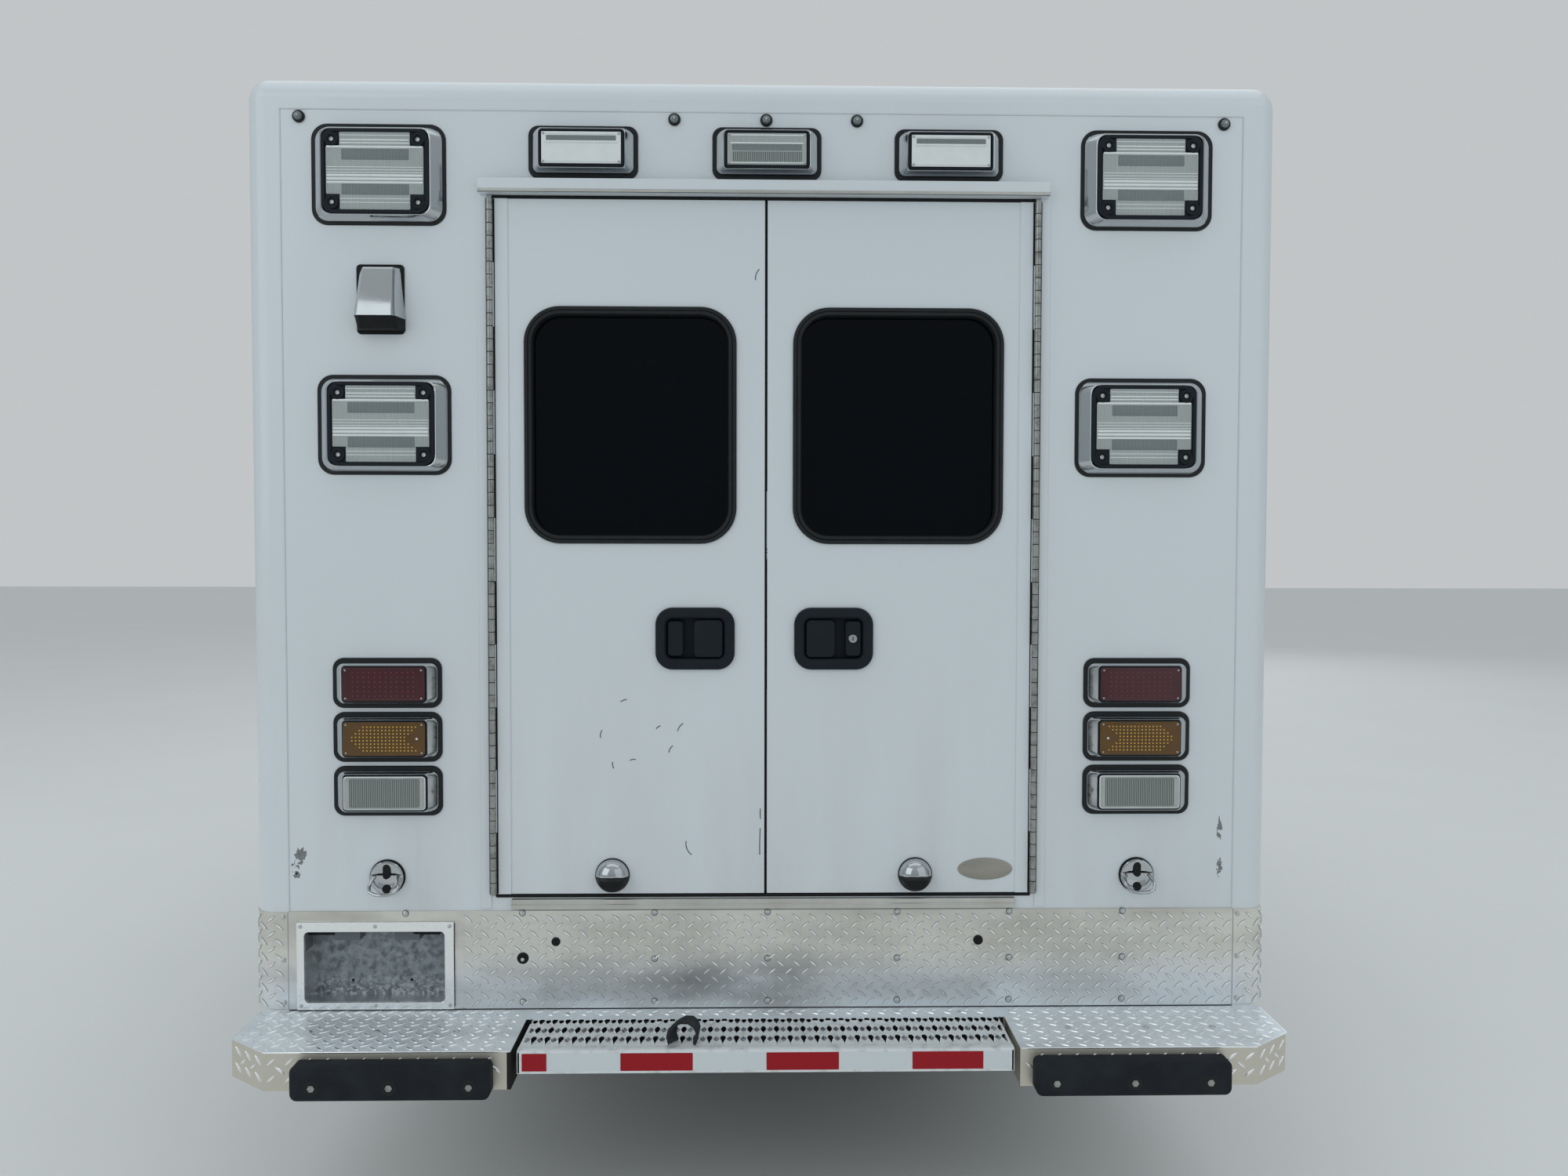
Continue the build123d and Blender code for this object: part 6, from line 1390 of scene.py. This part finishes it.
# On each cab door: the window's rubber, a chromed pull handle and lock, the silvered mirror
# glass in its shell, and a moulded arm rest and pocket inside.
mirror_silver, tree, shader = surface("silvered_mirror_glass", "#d6dadb", 0.02, 1.0)
roughened(shader, patches(tree, 60, 4.0), 0.4, 0.8, 0.01, 0.05)
door_plastic = finish("moulded_door_trim", "#5f6264", "#54575a", 60, (0.5, 0.7), grain=(1.2, 0.06))
cab_seal = Work()
for side, word in SIDES:
    on_cab = lambda u, v, d: (side * (cab_side(v) + d), u, v)
    body = f"cab_door_{word}_leaf"
    trim = Work()
    band(trim, on_cab, DOOR_WINDOW, DOOR_RADII, RUBBER_LIP)
    pull = shifted(on_cab, 4005, 1135)
    trim.plate(pull, [(196, 66, 14, 0.2), (196, 66, 14, 3), (190, 60, 12, 5), (176, 48, 9, 5),
                      (172, 44, 8, 2)], 1)
    trim.plate(shifted(pull, -4, 3), [(158, 26, 6, 1), (158, 26, 6, 11), (152, 20, 5, 14)], 2)
    trim.turned(shifted(pull, -66, -52), [(12, 0.2), (12, 2.5), (10, 3.5), (3, 3.5)], 2, 18)
    sill = [on_cab(y, 1228, 3) for y in (3986, 4200, 4500, 4699)]
    trim.strip(sill, 14, 4, (0, 0, 1), 0)
    glass = lambda u, v, d: (side * 1210 + u, 4747 - d, 1400 + v)
    trim.plate(glass, [(168, 318, 22, 34.6), (168, 318, 22, 36), (164, 314, 20, 35.4)], 1,
               (False, False), 6)
    trim.plate(glass, [(166, 316, 21, 35.2), (164, 314, 20, 35.8)], 3, (False, True), 6)
    inside = lambda u, v, d: (side * (cab_side(v) - 45 - d), u, v)
    arm_rest, pocket = shifted(inside, 4300, 1150), shifted(inside, 4230, 760)
    trim.plate(arm_rest, [(460, 60, 24, -4), (460, 60, 24, 44), (440, 44, 18, 52)], 4)
    trim.plate(pocket, [(560, 180, 30, -4), (560, 180, 30, 22), (548, 168, 26, 28)], 4)
    trim.make(f"cab_door_{word}_trim", body, "black_plastic",
              [window_rubber, moulded_nylon, chrome, mirror_silver, door_plastic])
    band(cab_seal, on_cab, DOOR_EDGE, EDGE_RADII, [(-0.4, -16), (-3, -16), (-3, -30), (-0.4, -30)])
cab_seal.make("cab_door_seals", "chassis", "black_rubber", [door_rubber])

# The nose: a moulded grille in a bright surround, sealed lamps in bright frames, and a chromed
# steel bumper.
dress(finish("grey_grille_plastic", "#3d4042", "#2e3133", 50, (0.4, 0.6), grain=(1.5, 0.05)), "grille")
dress(chrome, "front_bumper")
head_lamps = Work()
for side in (-1, 1):
    spot = lambda u, v, d: (side * (695 - u), 5876 + d, 940 + v)
    head_lamps.plate(spot, [(266, 176, 16, -60), (266, 176, 16, 3), (262, 172, 15, 5), (246, 156, 12, 5),
                            (242, 152, 11, 0)], CHROME, (True, False), 5)
    head_lamps.plate(spot, [(242, 152, 11, 0), (240, 150, 11, 2.5), (232, 142, 10, 4)],
                     RIBBED, (False, True), 5)
    for u in (-62, 50):
        bowl = shifted(spot, u, 0, 3.6)
        head_lamps.turned(bowl, [(52, 0), (52, 1.6), (48, 1.6), (40, 0.8), (20, 0.4)], MIRROR, 28)
        head_lamps.turned(bowl, [(17, 0.4), (16, 2.4), (8, 3.6)], WINDOW_TONE, 20)
    lens_block(head_lamps, spot, (-118, -108), (-66, 66), 5, AMBER)
head_lamps = head_lamps.make("headlamps_framed", "chassis", "lamp_clear", LAMP_FINISHES)
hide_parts("headlamps")
surround = Work()
nose_at = lambda u, v, d: (-u, 5877 + d, 925 + v)
surround.plate(nose_at, [(1046, 276, 12, -2), (1046, 276, 12, 6), (1040, 270, 10, 8), (1018, 248, 8, 8),
                         (1014, 244, 7, 0)], 0, (False, False), 5)
surround.make("grille_surround", "chassis", "chrome", [chrome])


# Inside the cab: moulded dash with its vents and dials, and two seats whose foam is sewn in
# woven cloth, on steel pedestals.
dress(finish("moulded_dash_plastic", "#3b3e42", "#303337", 60, (0.5, 0.72), grain=(1.2, 0.08)), "dashboard")
dials = Work()
face = lambda u, v, d: (u, 4744 + 0.35 * v - 0.94 * d, 1240 + 0.94 * v + 0.35 * d)
dials.plate(shifted(face, -430), [(330, 110, 20, 0), (330, 110, 20, 12), (318, 98, 16, 14),
                                  (310, 90, 14, 4)], 0)
for x in (-520, -430, -340):
    dials.turned(shifted(face, x, 0, 4), [(38, 0), (38, 2), (34, 2.5), (30, 1)], 1, 24)
for x in (-760, -200, 200, 760):
    vent = shifted(face, x, 10)
    dials.plate(vent, [(130, 62, 10, 0), (130, 62, 10, 8), (122, 54, 8, 9), (116, 48, 6, 3)], 0)
    for v in (-16, -5, 6, 17):
        dials.plate(shifted(vent, 0, v), [(114, 3, 1, 3), (114, 3, 1, 7)], 0, (False, True), 2)
dials.plate(face, [(210, 80, 8, 0), (210, 80, 8, 6), (204, 74, 6, 7)], 2)
dials.make("dashboard_dials_and_vents", "chassis", "black_plastic", [moulded_nylon, privacy_glass, reflector])
mat = Work()
mat.plate(on_top(0, 4300, 690), [(1500, 700, 40, 0.3), (1500, 700, 40, 5), (1490, 690, 36, 6)], 0)
mat.make("cab_floor_mat", "chassis", "black_rubber", [door_rubber])


def weave(name, colour, other, thread):
    """Woven cloth: crossing threads, in millimetres, over a worn tone."""
    made, tree, shader = surface(name, colour, 0.85, Sheen_Weight=0.35, Sheen_Roughness=0.5)
    toned(shader, patches(tree, 70, 5.0), colour, other)
    place = here(tree)
    for way in ("X", "Y", "Z"):
        threads = add(tree, "TexWave", {"Vector": place, "Scale": 1000 / thread / 3.2}, bands_direction=way)
        relief(tree, shader, threads.outputs["Fac"], 0.12)
    return made


def swell(made, voxel, reach):
    """Foam in a sewn cover: a cloth blown up from inside, stopped reach millimetres from its cut."""
    evaluated = lambda: made.evaluated_get(bpy.context.evaluated_depsgraph_get())
    remesh = made.modifiers.new("remesh", "REMESH")
    remesh.mode = "VOXEL"
    remesh.voxel_size = voxel / 1000
    skin = bpy.data.meshes.new_from_object(evaluated())
    made.modifiers.clear()
    made.data = skin
    cut = [v.co.copy() for v in skin.vertices]
    cloth = made.modifiers.new("foam", "CLOTH")
    cloth.settings.use_pressure = True
    cloth.settings.uniform_pressure_force = 4.0
    cloth.settings.effector_weights.gravity = 0.0
    for frame_number in range(1, 21):
        bpy.context.scene.frame_set(frame_number)
    blown = [v.co.copy() for v in evaluated().data.vertices]
    made.modifiers.clear()
    bpy.context.scene.frame_set(1)
    for vertex, start, end in zip(skin.vertices, cut, blown):
        move = end - start
        vertex.co = start + move * min(1.0, reach / 1000 / max(move.length, 1e-9))
    skin.shade_smooth()


PAD_EDGE = 14.0
# Millimetres of voxel and of swelling at most
SEAT_FOAM, BENCH_FOAM = (9, 10), (10, 8)


def pad_block(work, spot, width, height, thick, radius):
    """A cushion's cut before it swells, thick from its back at d = 0."""
    slim, low = width - 2 * PAD_EDGE, height - 2 * PAD_EDGE
    work.plate(spot, [(slim, low, radius, 0), (width, height, radius, PAD_EDGE),
                      (width, height, radius, thick - PAD_EDGE), (slim, low, radius, thick)],
               0, (True, True), 4)


seat_cloth = weave("grey_seat_cloth", "#4a4d52", "#3c3f44", 1.6)
tilt = radians(12)
seats = Work()
stands = Work()
for x in (-430, 430):
    pad_block(seats, on_top(x, 4180, 966), 484, 504, 128, 50)
    lean = lambda u, v, d: (x + u, 3940 + d * cos(tilt) - v * sin(tilt), 1400 + v * cos(tilt) + d * sin(tilt))
    pad_block(seats, shifted(lean, 0, 0, -53), 464, 620, 106, 60)
    rest = lambda u, v, d: (x + u, 3860 + d * cos(tilt) - v * sin(tilt), 1775 + v * cos(tilt) + d * sin(tilt))
    pad_block(seats, shifted(rest, 0, 0, -40), 248, 138, 80, 40)
    stands.box((x - 190, x + 190), (3960, 4360), (690, 962), 0, 6)
    for y in (4000, 4320):
        stands.box((x - 200, x + 200), (y - 18, y + 18), (690, 702), 0, 2)
    for u in (-45, 45):
        stands.tube([rest(u, -30, 0), rest(u, -150, 4)], 6, 1, 10)
    for v in (-322, 322):
        stands.tube([lean(-190, v * 0.965, 40), lean(0, v * 0.985, 44), lean(190, v * 0.965, 40)], 3.5, 2, 8)
seats = seats.make("cab_seat_cushions", "chassis", "seat_cloth", [seat_cloth])
swell(seats, *SEAT_FOAM)
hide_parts("cab_seats")
seat_steel = finish("black_seat_steel", "#1c1d1f", "#2c2b2a", 50, (0.4, 0.6), grain=(1.5, 0.05))
stands.make("cab_seat_stands", "chassis", "black_plastic", [seat_steel, chrome, seat_cloth])


# Inside the module: sheet vinyl floor, laminate cabinets with aluminium edges, sliding-door
# tracks, a crew bench with vinyl cushions, grab rails and ceiling lamps.
dress(finish("grey_sheet_vinyl", "#70767b", "#5c6166", 9, (0.4, 0.6), grain=(3, 0.15)), "module_floor")
laminate = finish("light_grey_laminate", "#c9cdcf", "#bcc1c4", 500, (0.3, 0.42), grain=(1.0, 0.02))
dress(laminate, "left_cabinets", "right_cabinets")
bench_vinyl = finish("navy_bench_vinyl", "#1f2c40", "#26364d", 150, (0.42, 0.58), grain=(1.4, 0.12),
                     Coat_Weight=0.1)
bench = Work()
pad_block(bench, on_top(824.5, 1730, 1136), 345, 1092, 68, 30)
back_rest = lambda u, v, d: (1092 - d, 1730 + u, 1375 + v)
pad_block(bench, shifted(back_rest, 0, 0, 6), 1012, 218, 56, 30)
bench = bench.make("bench_cushions_sewn", "chassis", "vinyl_pad", [bench_vinyl])
swell(bench, *BENCH_FOAM)
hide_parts("bench_cushions")
piping = Work()
for z in (1150, 1192):
    loop = [(824.5 + u, 1730 + v, z) for u, v in round_rect(353, 1100, 30, 4)]
    piping.tube(loop, 3, 0, 8, True)
piping.make("bench_cushion_piping", "chassis", "vinyl_pad", [bench_vinyl])

# The cabinets' openings, along and up, each edged with aluminium
BAYS = [((1160, 1980), (1790, 2120)), ((2004, 2830), (1790, 2120)), ((360, 1130), (1790, 2120)),
        ((1160, 1980), (2142, 2440)), ((2004, 2830), (2142, 2440)), ((360, 1130), (2142, 2440)),
        ((1160, 2830), (1150, 1660)), ((2240, 2830), (780, 1110))]
edging = Work()
for (y0, y1), (z0, z1) in BAYS:
    for a, b in (((y0 - 10, y1 + 10), (z0 - 10, z0 + 4)), ((y0 - 10, y1 + 10), (z1 - 4, z1 + 10)),
                 ((y0 - 10, y0 + 4), (z0 + 4, z1 - 4)), ((y1 - 4, y1 + 10), (z0 + 4, z1 - 4))):
        edging.box((-640, -634), a, b, 0, 1)
CEILING_Z = 2483
for side in (-1, 1):
    rail = [(side * 250, y, CEILING_Z - drop) for y, drop in
            ((300, 0), (330, 58), (900, 58), (1900, 58), (2900, 58), (3420, 58), (3450, 0))]
    edging.tube(rail, 16, 1, 14)
for y in (700, 1500, 2300, 3100):
    for x in (-450, 450):
        lamp = lambda u, v, d: (x + u, y + v, CEILING_Z - d)
        edging.turned(lamp, [(70, 0), (70, 10), (62, 16)], 0, 28, (False, False))
        edging.turned(lamp, [(62, 16), (56, 19), (20, 20)], 2, 28)
edging.make("module_rails_and_lamps", "chassis", "galvanised", [mill_aluminium, stainless, lens_smooth])

# Inside the rear doors: a sheet of mill-finish aluminium, the window's clamping frame and a
# stainless grab bar.
DOOR_INNER_Y = 46
GRAB_BAR = [(1010, 2), (1012, 34), (1040, 48), (1330, 48), (1358, 34), (1360, 2)]
for side, word in SIDES:
    lining = Work()
    inner = lambda u, v, d: (side * WINDOW[0] + u, DOOR_INNER_Y + d, v)
    lining.plate(shifted(inner, 0, 1130), [(520, 700, 20, 0), (520, 700, 20, 2.4)], 0)
    lining.plate(shifted(inner, 0, WINDOW[1]), [(483, 537, 84, 0), (483, 537, 84, 3), (437, 491, 64, 3),
                                                (435, 489, 64, -18)], 1, (False, False), 10)
    lining.tube([inner(side * -200, z, out) for z, out in GRAB_BAR], 12, 2, 12)
    lining.make(f"rear_door_{word}_lining", f"rear_door_{word}_leaf", "galvanised",
                [mill_aluminium, window_rubber, stainless])


# Wear that the photograph shows: scratches through the enamel and scuffs to the primer on
# the corners, cut as thin films over the paint.
bare, tree, shader = surface("scuffed_primer", "#77797a", 0.7)
toned(shader, patches(tree, 9, 5.0), "#5d5f61", "#9c9fa0")
tree.links.new(number(tree, "GREATER_THAN", patches(tree, 16, 6.0), 0.46), shader.inputs["Alpha"])
scored, tree, shader = surface("scored_enamel", "#4d5052", 0.6)
toned(shader, patches(tree, 12, 4.0), "#3c3f42", "#747a7d")
wear = Work()
SCUFFS = [
    # x, z, width and height of each worn spot, and its seed
    (-1034, 838, 34, 44, 9), (-1046, 808, 24, 40, 3), (-1042, 794, 16, 20, 4), (1030.5, 893, 18, 66, 5),
    (1030.5, 806, 16, 50, 8),
]
for x, z, wide, tall, seed in SCUFFS:
    shape = random.Random(seed)
    spot = on_wall("rear", x, z)
    reach = [1 - 0.5 * shape.random() for k in range(22)]
    wear.skin([[spot(wide / 2 * e * cos(2 * pi * k / 22), tall / 2 * e * sin(2 * pi * k / 22), 0.25)
                for k, e in enumerate(reach)]], 0, (False, True))
SCRATCHES = [
    # x, z, length, slant from level in degrees, and bend
    (-16.6, 2130, 26, 70, 3), (-314, 1185, 15, 20, 1), (-364, 1110, 18, 80, 2), (-188, 1125, 22, 55, 2),
    (-237, 1125, 12, 35, 1), (-209, 1076, 18, 60, 2), (-338, 1040, 15, 100, 1), (-294, 1052, 13, 10, 1),
    (-169, 853, 34, 112, 5), (-9.5, 867, 60, 89, 0.6), (-8.5, 930, 24, 91, 0.4),
]
door_wear = Work()
for x, z, long, slant, bend in SCRATCHES:
    way = Vector((cos(radians(slant)), 0, sin(radians(slant))))
    side_way = Vector((-way.z, 0, way.x))
    line = [Vector((x, -0.2, z)) + way * (k / 4 - 0.5) * long + side_way * bend * (1 - (k / 2 - 1) ** 2)
            for k in range(5)]
    door_wear.strip([tuple(q) for q in line], 2.2, 0.3, tuple(side_way), 0)
wear.make("corner_scuffs", "chassis", "white_paint", [bare])
door_wear.make("left_door_scratches", "rear_door_left_leaf", "white_paint", [scored])
